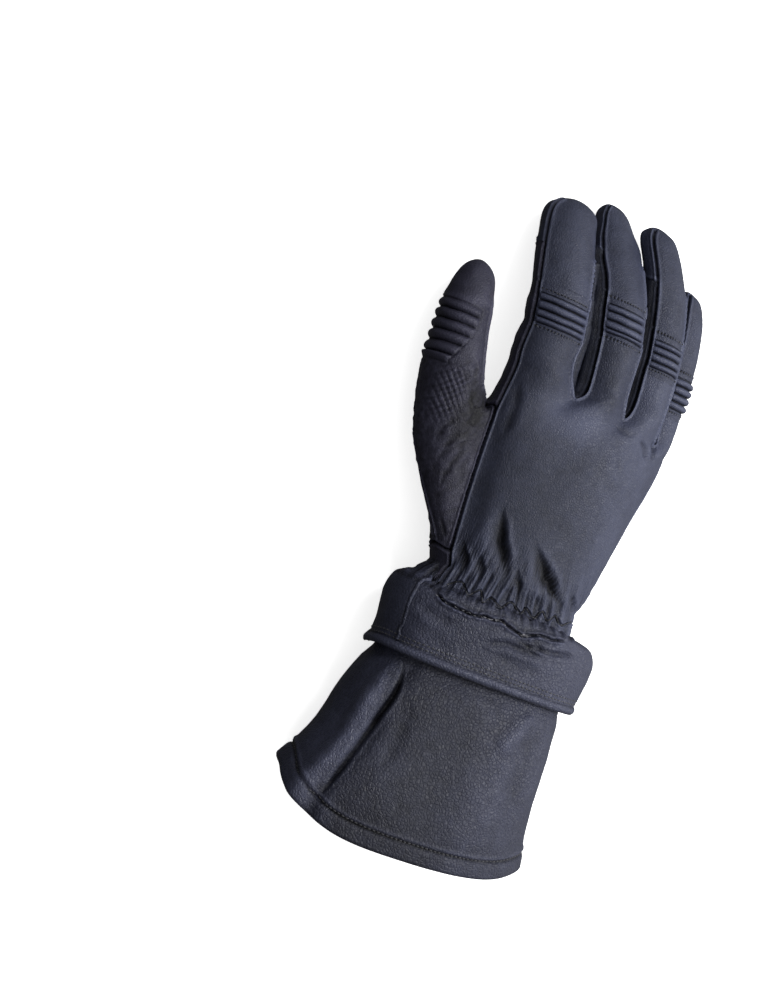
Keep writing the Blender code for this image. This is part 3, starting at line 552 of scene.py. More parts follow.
def finer(verts, faces, tags):
    """One smooth subdivision of quads; a point may carry more than its place."""
    edges, fe, count = edge_table(faces)
    n, ne, k = len(verts), len(edges), verts.shape[1]
    centre, mid = verts[faces].mean(1), verts[edges].mean(1)
    esum = np.zeros((ne, k))
    np.add.at(esum, fe.ravel(), np.repeat(centre, 4, 0))
    inner = count == 2
    epoint = mid.copy()
    epoint[inner] = (mid[inner] * 2 + esum[inner]) / 4
    val, msum, fsum, fval = np.zeros(n), np.zeros((n, k)), np.zeros((n, k)), np.zeros(n)
    np.add.at(val, edges.ravel(), 1)
    np.add.at(msum, edges.ravel(), np.repeat(mid, 2, 0))
    np.add.at(fsum, faces.ravel(), np.repeat(centre, 4, 0))
    np.add.at(fval, faces.ravel(), 1)
    v = ((fsum / fval[:, None]) + 2 * msum / val[:, None] + (val - 3)[:, None] * verts) / val[:, None]
    rim, bsum = np.unique(edges[~inner]), np.zeros((n, k))
    np.add.at(bsum, edges[~inner].ravel(), np.repeat(mid[~inner], 2, 0))
    v[rim] = verts[rim] / 2 + bsum[rim] / 4
    e0, e3 = n + fe, n + np.roll(fe, 1, 1)
    fpt = (n + ne + np.arange(len(faces)))[:, None].repeat(4, 1)
    return np.vstack([v, epoint, centre]), np.stack([faces, e0, fpt, e3], 2).reshape(-1, 4), np.repeat(tags, 4)


def unit(v):
    """Vectors of length 1."""
    return v / np.maximum(np.linalg.norm(v, axis=-1, keepdims=True), 1e-9)


def rim_points(verts, faces):
    """Points along the open edges of a mesh."""
    edges, _, count = edge_table(faces)
    rim = edges[count == 1]
    return np.vstack([verts[rim[:, 0]], verts[rim].mean(1)])


def away_from(points, others):
    """Distance of each point to the nearest of the others."""
    tree = KDTree(len(others))
    for i, co in enumerate(others):
        tree.insert(co, i)
    tree.balance()
    return np.array([tree.find(p)[2] for p in points])


def piece(name, verts, faces, mat, nodes=(), relief_and_shade=None, smooth=True):
    """A mesh object of the scene from model mm; relief in mm is kept as a colour attribute, which the material paints
    as shade in hollows and highlight on ridges.
    """
    mesh = bpy.data.meshes.new(name)
    co = (np.asarray(verts, float) - ORIGIN) * 0.001
    faces = np.asarray(faces, np.int32)
    k = faces.shape[1]
    mesh.vertices.add(len(co))
    mesh.vertices.foreach_set("co", co.astype(np.float32).ravel())
    mesh.loops.add(faces.size)
    mesh.loops.foreach_set("vertex_index", faces.ravel())
    mesh.polygons.add(len(faces))
    mesh.polygons.foreach_set("loop_start", np.arange(0, faces.size, k, dtype=np.int32))
    mesh.update(calc_edges=True)
    mesh.validate()
    if smooth:
        mesh.polygons.foreach_set("use_smooth", np.ones(len(faces), bool))
    # Painted shade and painted highlight, stored per point for the material
    tone = np.full(len(co), 0.5) if relief_and_shade is None else np.clip(0.5 + np.asarray(relief_and_shade) * 0.4, 0, 1)
    layer = mesh.color_attributes.new("relief_and_shade", "FLOAT_COLOR", "POINT")
    layer.data.foreach_set("color", np.repeat(tone[:, None], 4, 1).astype(np.float32).ravel())
    mesh.materials.append(mat)
    obj = bpy.data.objects.new(name, mesh)
    bpy.context.scene.collection.objects.link(obj)
    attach(obj, "root")
    if nodes:
        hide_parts(*nodes)
    return obj


def tree_of(*meshes):
    """Search tree over (verts, faces) pairs in model mm."""
    verts = np.vstack([v for v, _ in meshes])
    start = np.cumsum([0] + [len(v) for v, _ in meshes])
    faces = np.vstack([f + s for (_, f), s in zip(meshes, start)])
    return BVHTree.FromPolygons(verts.tolist(), faces.tolist())


def resample(line, pitch):
    """Points at equal steps along a line, and the direction at each."""
    line = np.asarray(line, float)
    run = np.concatenate([[0], np.cumsum(np.linalg.norm(np.diff(line, axis=0), axis=1))])
    n = max(2, int(run[-1] / pitch))
    s = (np.arange(n) + 0.5) * run[-1] / n
    before, pts, after = (np.stack([np.interp(np.clip(s + d, 0, run[-1]), run, line[:, c]) for c in range(3)], 1)
                          for d in (-0.4, 0.0, 0.4))
    return pts, unit(after - before)


def stitched(name, rows, mat, tree, length, radius, pitch, proud=0.05):
    """Rows of stitches: short rounded bows of thread that lie on the surface."""
    ring = np.radians(np.arange(6) * 60)
    stations = [(-0.5, 0.25, -0.9), (-0.42, 0.8, -0.2), (-0.2, 1.0, 0.25), (0.2, 1.0, 0.25), (0.42, 0.8, -0.2),
                (0.5, 0.25, -0.9)]
    shape = np.array([(x * length, r * radius * math.cos(a), (h + r * math.sin(a)) * radius)
                      for x, r, h in stations for a in ring])
    quads = [(r * 6 + i, (r + 1) * 6 + i, (r + 1) * 6 + (i + 1) % 6, r * 6 + (i + 1) % 6)
             for r in range(len(stations) - 1) for i in range(6)]
    verts, faces = [], []
    for row in rows:
        pts, along = resample(row, pitch)
        for p, d in zip(pts, along):
            hit, normal, _, _ = tree.find_nearest(Vector(p))
            if hit is None:
                continue
            n = np.array(normal)
            d = unit(d - n * d.dot(n))
            side = np.cross(n, d)
            verts.append(np.array(hit) + n * (proud + radius * 0.3) + shape @ np.array([d, side, n]))
            faces.append(np.array(quads) + 36 * len(faces))
    piece(name, np.vstack(verts), np.vstack(faces), mat)


def tube(line, radius, sides):
    """Round tube along a line of points: verts and faces, with closed ends."""
    line = np.asarray(line, float)
    ahead = unit(np.gradient(line, axis=0))
    up = np.cross(ahead[0], (0.3, 0.2, 1.0))
    verts = []
    for i, p in enumerate(line):
        up = unit(up - ahead[i] * up.dot(ahead[i]))
        side = np.cross(ahead[i], up)
        for a in np.arange(sides) * 2 * math.pi / sides:
            verts.append(p + radius * (up * math.cos(a) + side * math.sin(a)))
    n = len(line)
    faces = [(i * sides + k, i * sides + (k + 1) % sides, (i + 1) * sides + (k + 1) % sides, (i + 1) * sides + k)
             for i in range(n - 1) for k in range(sides)]
    for first, turn in ((0, -1), ((n - 1) * sides, 1)):
        order = [first + k for k in range(sides)][::turn]
        faces += [(order[0], order[k], order[k + 1], order[k + 1]) for k in range(1, sides - 1)]
    return np.array(verts), np.array(faces)


def material(name):
    """A new material, its node tree and its shader."""
    mat = bpy.data.materials.new(name)
    mat.use_nodes = True
    return mat, mat.node_tree, mat.node_tree.nodes["Principled BSDF"]


def texture(tree, kind, scale, **inputs):
    """A texture node that follows the object."""
    node = tree.nodes.new(kind)
    node.inputs["Scale"].default_value = scale
    for key, value in inputs.items():
        node.inputs[key].default_value = value
    tree.links.new(tree.nodes.new("ShaderNodeTexCoord").outputs["Object"], node.inputs["Vector"])
    return node


def ramp(tree, fac, socket, *stops):
    """Colour a socket by a value, with (place, colour) stops."""
    node = tree.nodes.new("ShaderNodeValToRGB")
    elements = node.color_ramp.elements
    for element, (place, colour) in zip(elements, (stops[0], stops[-1])):
        element.position, element.color = place, (*colour, 1)
    for place, colour in stops[1:-1]:
        elements.new(place).color = (*colour, 1)
    tree.links.new(fac, node.inputs["Fac"])
    tree.links.new(node.outputs["Color"], socket)
    return node.color_ramp


def bumped(tree, height, strength, distance, shader):
    """Small relief of a shader from a height of the nodes."""
    node = tree.nodes.new("ShaderNodeBump")
    node.inputs["Strength"].default_value = strength
    node.inputs["Distance"].default_value = distance
    tree.links.new(height, node.inputs["Height"])
    tree.links.new(node.outputs["Normal"], shader.inputs["Normal"])


def leather(name, colour, roughness, grain, depth=0.00022):
    """Grained leather: painted shade darkens the creases and a painted highlight lightens the ridges, small pebbles and
    pores.
    """
    mat, tree, shader = material(name)
    attribute = tree.nodes.new("ShaderNodeAttribute")
    attribute.attribute_name = "relief_and_shade"
    tone = attribute.outputs["Fac"]

    def maths(kind, a, b, c=None):
        node = tree.nodes.new("ShaderNodeMath")
        node.operation = kind
        for socket, value in zip(node.inputs, (a, b, c)):
            if hasattr(value, "default_value"):
                tree.links.new(value, socket)
            elif value is not None:
                socket.default_value = value
        return node.outputs[0]

    cloud = texture(tree, "ShaderNodeTexNoise", 38.0, Detail=4.0, Roughness=0.6).outputs["Fac"]
    small = texture(tree, "ShaderNodeTexNoise", 420.0, Detail=5.0, Roughness=0.65).outputs["Fac"]
    cells = texture(tree, "ShaderNodeTexVoronoi", 1000.0 / grain, Randomness=1.0)
    cells.feature = "DISTANCE_TO_EDGE"
    pores = texture(tree, "ShaderNodeTexVoronoi", 2600.0 / grain, Randomness=1.0)
    # Painted shade and painted highlight: low relief values darken the colour and high ones lighten it, with random
    # cloud noise on top
    shade = maths("MULTIPLY_ADD", cloud, 0.36, maths("ADD", tone, -0.18))
    shade = maths("MULTIPLY_ADD", small, 0.30, maths("ADD", shade, -0.15))
    ramp(tree, shade, shader.inputs["Base Color"], (0.05, [c * 0.12 for c in colour]), (0.5, colour),
         (0.95, [c * 1.9 + 0.01 for c in colour])).interpolation = "B_SPLINE"
    rough = maths("MULTIPLY_ADD", cloud, 0.22, maths("MULTIPLY_ADD", tone, -0.2, roughness))
    tree.links.new(rough, shader.inputs["Roughness"])
    height = maths("ADD", maths("MINIMUM", maths("MULTIPLY", cells.outputs["Distance"], 3.2), 0.7),
                   maths("MULTIPLY", small, 0.9))
    height = maths("ADD", height, maths("MULTIPLY", pores.outputs["Distance"], 0.25))
    bumped(tree, height, 0.95, depth, shader)
    shader.inputs["Specular IOR Level"].default_value = 0.22
    return mat


def cloth(name, colour, roughness, scale, depth, sheen=0.3):
    """Thread or pile: a fine twisted or tufted surface with uneven colour."""
    mat, tree, shader = material(name)
    tufts = texture(tree, "ShaderNodeTexNoise", scale, Detail=6.0).outputs["Fac"]
    ramp(tree, tufts, shader.inputs["Base Color"], (0.3, [c * 0.55 for c in colour]), (0.75, [c * 1.5 for c in colour]))
    bumped(tree, tufts, 0.8, depth, shader)
    shader.inputs["Roughness"].default_value = roughness
    shader.inputs["Sheen Weight"].default_value = sheen
    return mat


def metal(name):
    """Dull plated metal, rubbed here and there."""
    mat, tree, shader = material(name)
    wear = texture(tree, "ShaderNodeTexNoise", 600.0, Detail=5.0).outputs["Fac"]
    ramp(tree, wear, shader.inputs["Base Color"], (0.35, (0.16, 0.16, 0.18)), (0.7, (0.42, 0.41, 0.42)))
    rough = tree.nodes.new("ShaderNodeMapRange")
    rough.inputs["To Min"].default_value, rough.inputs["To Max"].default_value = 0.28, 0.5
    tree.links.new(wear, rough.inputs["Value"])
    tree.links.new(rough.outputs["Result"], shader.inputs["Roughness"])
    shader.inputs["Metallic"].default_value = 1.0
    return mat


# Materials
BACK = leather("back_leather_grained", (0.0245, 0.0280, 0.0490), 0.46, grain=1.3)
PALM = leather("palm_leather_grained", (0.0225, 0.0220, 0.0385), 0.48, grain=1.35)
CUFF_SKIN = leather("cuff_leather_grained", (0.0225, 0.0248, 0.0430), 0.45, grain=1.9, depth=0.00032)
THREAD = cloth("thread", (0.030, 0.031, 0.046), 0.5, 2500.0, 0.0001)
DARK = cloth("thread_dark", (0.006, 0.006, 0.010), 0.6, 2500.0, 0.0001)
LIGHT = cloth("thread_frayed", (0.17, 0.17, 0.19), 0.7, 2500.0, 0.0001)
PILE = cloth("fleece_pile", (0.030, 0.020, 0.034), 0.95, 900.0, 0.0009, 0.6)
STEEL = metal("zip_metal_worn")

# Skin of the hand: the cage made three times finer, with its normals
points, quads, names, lines, free = hand_cage()
keys = sorted(set(names))
tags = np.array([keys.index(t) for t in names])
skin = np.hstack([through(points, quads, free), lines[:, None].astype(float)])
faces = quads
for _ in range(3):
    skin, faces, tags = finer(skin, faces, tags)
palm_floor = (PATCH_WALL + LIFT) * np.clip((HAND * FREE_FINGERS - skin[:, 1]) / FADE, 0.0, 1.0)
skin[:, 2] = np.maximum(skin[:, 2], palm_floor)
skin = np.hstack([skin, normals(skin[:, :3], faces, 2)])
under_tree = BVHTree.FromPolygons(skin[:, :3].tolist(), faces.tolist())

# Zigzag stitching of the elastic across the back of the wrist
AT_WRIST = [
    (-31.5, -4.2), (-24.8, -0.3), (-19.6, -4.9), (-14.6, -0.5), (-11.1, -5.8), (-8.3, -2), (-1.7, -5), (1.8, -0.3),
    (8.4, -4), (9.9, -0.4), (15.4, -3.9), (18, 1.2), (22.1, -2.2), (24.9, 1.6), (29.1, -2), (33.5, 2)]
# Creases of the wrist, thumb, hand and fingers as lines of the view, with width and depth
WRIST_FOLDS = [
    ([(-20.8, 45), (-19.3, 38.7), (-15.6, 31), (-12.0, 24.6), (-7.2, 15.3), (-4.6, 6)], 3.0, 2.6),
    ([(-17.6, 35), (-13.4, 25.6), (-9.2, 17.3), (-6.6, 9)], 1.2, 1.1),
    ([(-3.4, 17.2), (0.6, 11.3), (3.2, 7.7), (4.4, 2)], 1.6, 1.3),
    ([(0.1, 34), (6.3, 26.8), (12.1, 21), (18.6, 14.9), (23.5, 9.5), (26.6, 3)], 2.9, 2.6),
    ([(9.3, 23.6), (15.6, 16.9), (21.6, 10.5), (24.6, 5)], 1.2, 1.2),
    ([(-33, 21), (-28, 12.2), (-24.9, 2)], 2.0, 1.9), ([(-23.3, 17.2), (-19.2, 9.9), (-17.3, 1.6)], 1.7, 1.4),
    ([(12, 9.5), (13.6, 5.2), (14.4, 1)], 1.0, 0.7), ([(28.5, 17.5), (31, 10.5), (32.2, 4)], 1.3, 0.9),
    ([(-13.6, 11.5), (-12.2, 7.2), (-12, 2)], 0.9, 0.6)]
BACK_FOLDS = [
    ([(31, 99), (34.4, 95.4), (36.6, 90)], 0.9, 0.7), ([(36, 100.5), (38.4, 96.8), (40, 91)], 0.9, 0.7),
    ([(17, 101), (24, 99.5), (30, 101)], 1.6, 0.4), ([(-36, 104), (-33, 90), (-33.5, 74)], 2.2, 0.5)]
THUMB_FOLDS = [
    ([(-49.3, 66.8), (-51.4, 54), (-54.1, 41)], 1.5, 1.2), ([(-53.5, 72), (-56.8, 62.5), (-59.6, 50)], 1.3, 0.9),
    ([(-58, 76), (-62, 69), (-64.8, 60)], 1.2, 0.7), ([(-47.5, 26), (-44, 20.7), (-41, 17.5)], 1.1, 0.8),
    ([(-52, 86), (-49.5, 80.6), (-48.6, 72)], 2.6, 1.8), ([(-47, 60), (-45, 52), (-44.4, 44)], 1.5, 0.8),
    ([(-57, 92), (-54.5, 86), (-53.6, 80)], 1.2, 0.9), ([(-60, 106), (-57.4, 97), (-56.2, 90)], 1.2, 0.7),
    ([(-72, 131), (-66, 133.5), (-60, 131)], 1.6, 0.5)]
BAND_FOLDS = [
    ([(-6, -24.5), (-0.2, -23.2), (7.9, -20.8), (15.5, -20.7), (28.9, -20.9)], 1.7, 0.9),
    ([(28.5, -17.3), (35.5, -15.2), (41, -14.0)], 1.3, 0.8), ([(16.6, -19.3), (22.5, -16.8), (27.4, -17.0)], 1.1, 0.7),
    ([(-42, -20), (-36, -19.5), (-30, -21), (-20, -20.5)], 2.4, 0.5), ([(4, -28), (17, -29.6), (30, -27.6)], 2.6, 0.4)]
GAUNTLET_FOLDS = [
    ([(33.7, -46.9), (29, -60), (22.6, -75)], 3.4, -1.3),
    ([(-37.4, -44), (-35.1, -61.6), (-38.6, -78.2), (-42.7, -94.9), (-47.2, -112.9), (-51.1, -127.4)], 1.3, 2.0),
    ([(41, -55), (38, -74), (40, -100)], 4.0, 0.7), ([(-28, -62), (-25, -82), (-27, -104)], 3.6, 0.5)]
# Seam between band and back of the hand, and the inner border of the thumb's ribs, as lines of the view
BAND_SEAM = np.array([
    (-39.1, -9.1), (-29, -12.4), (-17.1, -13.6), (-9.4, -12.6), (0.8, -11.1), (8.2, -12.9), (12.6, -13.8),
    (20.9, -10.8), (28.1, -10.2), (41.9, -6.0)])
THUMB_BORDER = np.array([
    (-73.5, 92), (-72.6, 95.5), (-73.6, 100.2), (-69.4, 108.1), (-65.8, 116), (-65.0, 120.8), (-65.2, 126.4),
    (-66.0, 130)])
# Ribs along each finger: rings where the first and last crease lie, and the dotted rows beside them
RIB_RUN = {"index": (1.32, 4.05, 1.07, 4.53), "middle": (1.40, 4.28, 1.12, 4.80), "ring": (1.75, 4.48, 1.47, 4.92),
           "little": (1.85, 4.60, 1.58, 4.93)}
# Small moves that bring the outline of thumb and fingertips to the photograph's: place, reach and move in mm
NUDGES = [
    ((-9, 211, 12), 20, (-2.9, 0.7, 0.0)), ((-33, 205, 16), 15, (1.2, 1.0, 0.0)), ((31, 207, 14), 16, (-0.3, 0.6, 0.0)),
    ((-84, 92, 18), 30, (1.3, 0.0, 0.0)), ((-88, 118, 16), 16, (1.0, 0.0, 0.0)), ((52, 92, 20), 24, (0.8, 0.0, 0.0)),
    ((-17, 185, 26), 13, (-1.7, 0.0, 0.0))]
KNUCKLE = (-1, 97)  # the painted highlight over the knuckles, in the view
# Panels seen from the back, which get the finest mesh
FINE = ("back", "ribs_index", "ribs_middle", "ribs_ring", "ribs_little", "ribs_thumb", "thumb_back")


def nudged(p):
    """Points in model mm after the small moves."""
    p = p.copy()
    for place, reach, move in NUDGES:
        share = bell(np.linalg.norm(p - place, axis=1), 0, reach, 4)
        p += share[:, None] * np.array(move)
    return p


def gathers(p, view):
    """Fine pleats where elastic draws the leather in at the wrist, and the two ridges they run between."""
    zone = bell(view[:, 1], -0.5, 7.5, 4)
    upper = bell(view[:, 1], 13, 11)
    across = view[:, 0] + 0.16 * view[:, 1] * np.sign(view[:, 0])
    broad = np.sin(across * 2 * math.pi / 5.3 + 2.2 * noise(p * (1, 0.25, 0.3), 9.0, 5))
    wave = np.sin(across * 2 * math.pi / 2.5 + 2.0 * noise(p * (1, 0.3, 0.3), 5.0, 9))
    fine = np.sin(across * 2 * math.pi / 1.3 + 2.0 * noise(p * (1, 0.4, 0.4), 4.0, 6))
    return zone * (0.4 * broad + 0.2 * wave + 0.06 * fine) + upper * (0.16 * broad + 0.07 * wave + 0.03 * fine)


def zigzag(view):
    """The stitched groove of the elastic."""
    return stroke(view, AT_WRIST, 0.45, 1.0, lip=0.3, fade=0.03)


def skin_relief(key, p, n, s, rim):
    """Relief in mm of a panel of the hand: (shape, fine detail); the fine detail also goes into the colour as painted
    shade and painted highlight.
    """
    view = view_of(p)
    facing = n @ TOWARDS
    # Seams: a groove with a lip beside it, with painted shade in the groove and a painted highlight on the lip
    seam = 0.5 * bell(rim, 1.3, 0.5) - 1.2 * bell(rim, 0, 0.5)
    if not key.startswith(("back", "ribs", "thumb")):
        seam = seam * (1 - 0.6 * step(p[:, 1], 140, 160) * step(-facing, -0.35, 0.1))
    shape = 0.5 * noise(p, 24.0, 1) * step(rim, 0, 8)
    fine = 0.16 * noise(p, 5.5, 2) + 0.07 * noise(p, 2.4, 3)
    soft = step(rim, 0.6, 4.0)
    if key.startswith("ribs_") and key != "ribs_thumb":
        # Four ribs with sharp creases between them, dotted rows at both ends; painted highlight on the crests, painted
        # shade in the creases, darker dotted rows
        low, high, first_row, last_row = RIB_RUN[key[5:]]
        run = (s - low) / (high - low) * 4 + 0.06 * noise(p, 7.0, 7)
        on = step(run, -0.12, 0.08) * step(4 - run, -0.12, 0.08)
        wave = np.abs(np.sin(math.pi * np.clip(run, 0, 4)))
        side = step(rim, 0.9, 2.6)
        ribs = 1.5 * (wave ** 0.6) * on * side - 0.45 * on
        rows = bell(s, first_row, 0.06) + bell(s, last_row, 0.045)
        dots = 0.35 + 0.65 * np.cos(p[:, 0] * 2 * math.pi / 1.75)
        crease = bell(run, np.round(run), 0.13) * on * side
        fine = fine * 0.8 + 0.75 * wave * on * side - 1.5 * crease - 1.3 * rows * side * dots + 1.2 * seam
        return ribs - 0.4 * rows * side * dots + seam, fine
    if key == "back":
        # Creases and gathers above the wrist with painted shade in them, a painted highlight over the knuckles and
        # painted light on the side turned to the light
        wander = astray(astray(view, p, 1.1, 8.0, 81), p, 0.5, 3.0, 83)
        folds = strokes(wander, facing, WRIST_FOLDS, 0.3, 0.6, 0.48) * 0.85 + strokes(view, facing, BACK_FOLDS)
        shape += folds
        gather = (gathers(p, view) + zigzag(view)) * step(facing, 0.0, 0.3)
        shape += gather
        shape += 0.6 * noise(p * (1, 0.5, 1), 13.0, 12) * bell(view[:, 1], 22, 22)
        deep = np.clip(-folds, 0, 2)
        lines = np.sin((view[:, 0] + 0.8 * noise(p, 4.0, 87)) * 2 * math.pi / 1.3) * bell(view[:, 1], 14, 16)
        shape += 0.12 * lines
        knuckle_highlight = 1.35 * bell(view[:, 0], KNUCKLE[0], 15) * bell(view[:, 1], KNUCKLE[1], 12)
        lit = step(view[:, 0] + 0.1 * view[:, 1], 18, 42)
        # Painted shade in the folds, gathers and striations, painted highlight over the knuckles, painted light on the
        # right side, a little darker overall
        fine += 0.55 * folds + gather * 0.9 + (0.1 + 0.3 * deep) * lines + knuckle_highlight + 0.75 * lit - 0.3
    elif "thumb" in key:
        # Fine crossed wrinkles, then the ribs inside their border; painted shade in the crotch, the wrinkles and lower
        # down the thumb, a painted highlight across the tip and on the rib crests
        folds = strokes(astray(view, p, 1.0, 6.0, 85), facing, THUMB_FOLDS, 0.12) * 0.6
        cross, other = (p[:, 0] + p[:, 1]) * 0.7071, (p[:, 0] - p[:, 1]) * 0.7071
        zone = bell(view[:, 0], -68, 9, 4) * bell(view[:, 1], 84, 14, 4)
        web = zone * 0.3 * (np.abs(np.sin(cross * math.pi / 2.6)) + np.abs(np.sin(other * math.pi / 2.6)) - 1.2)
        lower = step(118 - p[:, 1], 0, 25)
        wrinkle = (0.32 * noise(np.stack([cross * 0.28, other * 1.3, p[:, 2] * 0.8], 1), 2.0, 14)
                   + 0.20 * noise(np.stack([cross * 0.5, other * 1.2, p[:, 2]], 1), 1.2, 13)) * lower
        shape += folds + web + 0.6 * wrinkle - 0.25 + 0.9 * bell(s, 9.8, 0.9)
        crotch_shade = bell(view[:, 0], -50, 10) * bell(view[:, 1], 80, 20)
        # Painted shade in the crotch, the diamond wrinkles and lower down, painted highlight in a band across the tip
        fine += 0.5 * folds + 1.8 * web + 0.8 * wrinkle - 1.2 * crotch_shade - 0.3 * step(76 - view[:, 1], 0, 40) \
            + 0.45 * bell(view[:, 1] - 0.1 * (view[:, 0] + 66), 133, 2.2)
        seam = seam * (1 - step(s, 8.0, 9.0))
        if key != "thumb_front":
            place = view[:, 0] - np.interp(view[:, 1], THUMB_BORDER[:, 1], THUMB_BORDER[:, 0])
            inside = step(-place, -0.4, 2.4) * step(s, 2.0, 2.1) * step(8 - s, 0, 0.1) * step(facing, -1.2, -0.2)
            wave = np.abs(np.sin(math.pi * (s + 0.05 * noise(p, 9.0, 7))))
            border = -0.6 * bell(place, 0, 0.6) * step(s, 1.9, 2.3) * step(8.1 - s, 0, 0.3)
            shape = shape * (1 - inside) + (2.0 * wave ** 0.6 - 1.5) * inside + 0.5 * border
            fine = fine * (1 - 0.6 * inside) + inside * (1.1 * wave ** 0.6 - 0.85) + 0.35 * border
    elif key.startswith(("palm", "front")):
        # Cross creases where the fingers and the palm bend, with painted shade in them and painted highlight between
        bend = 0.5 * noise(p * (0.35, 1.3, 0.35), 6.0, 15)
        shape += (bend - 0.2 * np.abs(noise(p * (0.5, 1, 0.5), 11.0, 16))) * soft
        fine += 0.45 * bend
    elif key.startswith("side"):
        shape += (3.4 if key == "side_index" else 2.0) * step(rim, 0, 4.5) + 0.4 * noise(p * (0.5, 1.4, 0.5), 6.0, 17)
        # Painted shade on the fourchettes between the fingers, except where they face the floor
        fine -= 1.2 * step(n[:, 2] + 0.5, 0, 0.5)
    elif key.startswith("tip"):
        shape += 0.35 * noise(p * (1, 0.6, 1), 8.0, 18) * soft
    return shape + seam, fine + 1.5 * seam


# CAD nodes of the panels with another name in the cage
PANELS = {"back": "back_panel", "palm": "palm_panel", "side_index": "fourchette_index",
          "side_middle": "fourchette_middle", "side_ring": "fourchette_ring"}
panels, rims = {}, {}
for i, key in enumerate(keys):
    own = faces[tags == i]
    used = np.unique(own)
    v, f, t = skin[used], np.searchsorted(used, own), np.zeros(len(own), int)
    for _ in range(2 if key in FINE else 1):
        v, f, t = finer(v, f, t)
    panels[key] = (v, f)
    rims[key] = rim_points(v, f)


def seam_points(key):
    """Where a panel is sewn to its neighbours: its rim without the lines that only start a rib or a fingertip."""
    rim = rims[key]
    s, down = rim[:, 3], rim[:, 6] < -0.25
    if key in ("ribs_thumb", "thumb_back"):
        other = rims["thumb_back" if key == "ribs_thumb" else "ribs_thumb"][:, :3]
        shared = away_from(rim[:, :3], other) < 0.3
        return rim[~shared | (away_from(rim[:, :3], rims["thumb_front"][:, :3]) < 0.3)][:, :3]
    plain = ((np.abs(s - 6) < 0.04) & ~down) | (np.abs(s - 5) < 0.04) | (np.abs(s - 1) < 0.04)
    return rim[~plain][:, :3]


def long_seams(finger):
    """The seam beside a fingertip, from the ribs to the end of the finger."""
    rows = FINGERS[finger][4:]
    return curve([finger_ring(row)[7] for row in rows], 0.5)


dressed = {}
web_rims = np.vstack([rims[k][:, :3] for k in keys if k.startswith("side")])
for key in keys:
    v, f = panels[key]
    p, s, n = v[:, :3].copy(), v[:, 3], unit(v[:, 4:7])
    seams = seam_points(key)
    if key.startswith("tip"):
        seams = np.vstack([seams, long_seams(key[4:])])
    rim = away_from(p, seams)
    shape, fine = skin_relief(key, p, n, s, rim)
    # Painted highlight on the turned edge beside each gap between the fingers, painted shade at the gap itself
    if key.startswith(("back", "ribs", "tip")) and key != "ribs_thumb":
        web = away_from(p, web_rims)
        fine += 2.2 * bell(web, 1.15, 0.5) - 0.8 * bell(web, 0, 0.5)
    p = nudged(p + n * (shape + fine * 0.4)[:, None])
    p[:, 2] = np.maximum(p[:, 2], 0.35)
    node = PANELS.get(key, key)
    slot = "palm_leather" if key.startswith(("palm", "front", "thumb", "ribs_thumb")) else "back_leather"
    piece(node + "_leather", p, f, PALM if slot == "palm_leather" else BACK, [node], fine + 0.15 * shape)
    dressed[key] = (p, f, s, rim)

# Dotted rows on the first and last line of the ribs
rib_tree = tree_of(*[dressed[k][:2] for k in dressed if k.startswith(("ribs", "tip", "thumb_back")) or k == "back"])
rows = []
for finger in ORDER:
    p, _, s, rim = dressed["ribs_" + finger]
    for mark in RIB_RUN[finger][2:]:
        on = p[(np.abs(s - mark) < 0.035) & (rim > 1.2)]
        bins = np.round(on[:, 0] / 1.2)
        rows.append(np.array([on[bins == b].mean(0) for b in np.unique(bins)]))
stitched("rib_stitches", rows, DARK, rib_tree, length=0.9, radius=0.34, pitch=1.75, proud=-0.12)


def rounded(away, reach):
    """How far an edge falls back on a quarter circle: 1 at the edge itself, 0 from its reach on."""
    return 1 - np.sqrt(np.clip(1 - (1 - np.clip(away / reach, 0, 1)) ** 2, 0, 1))


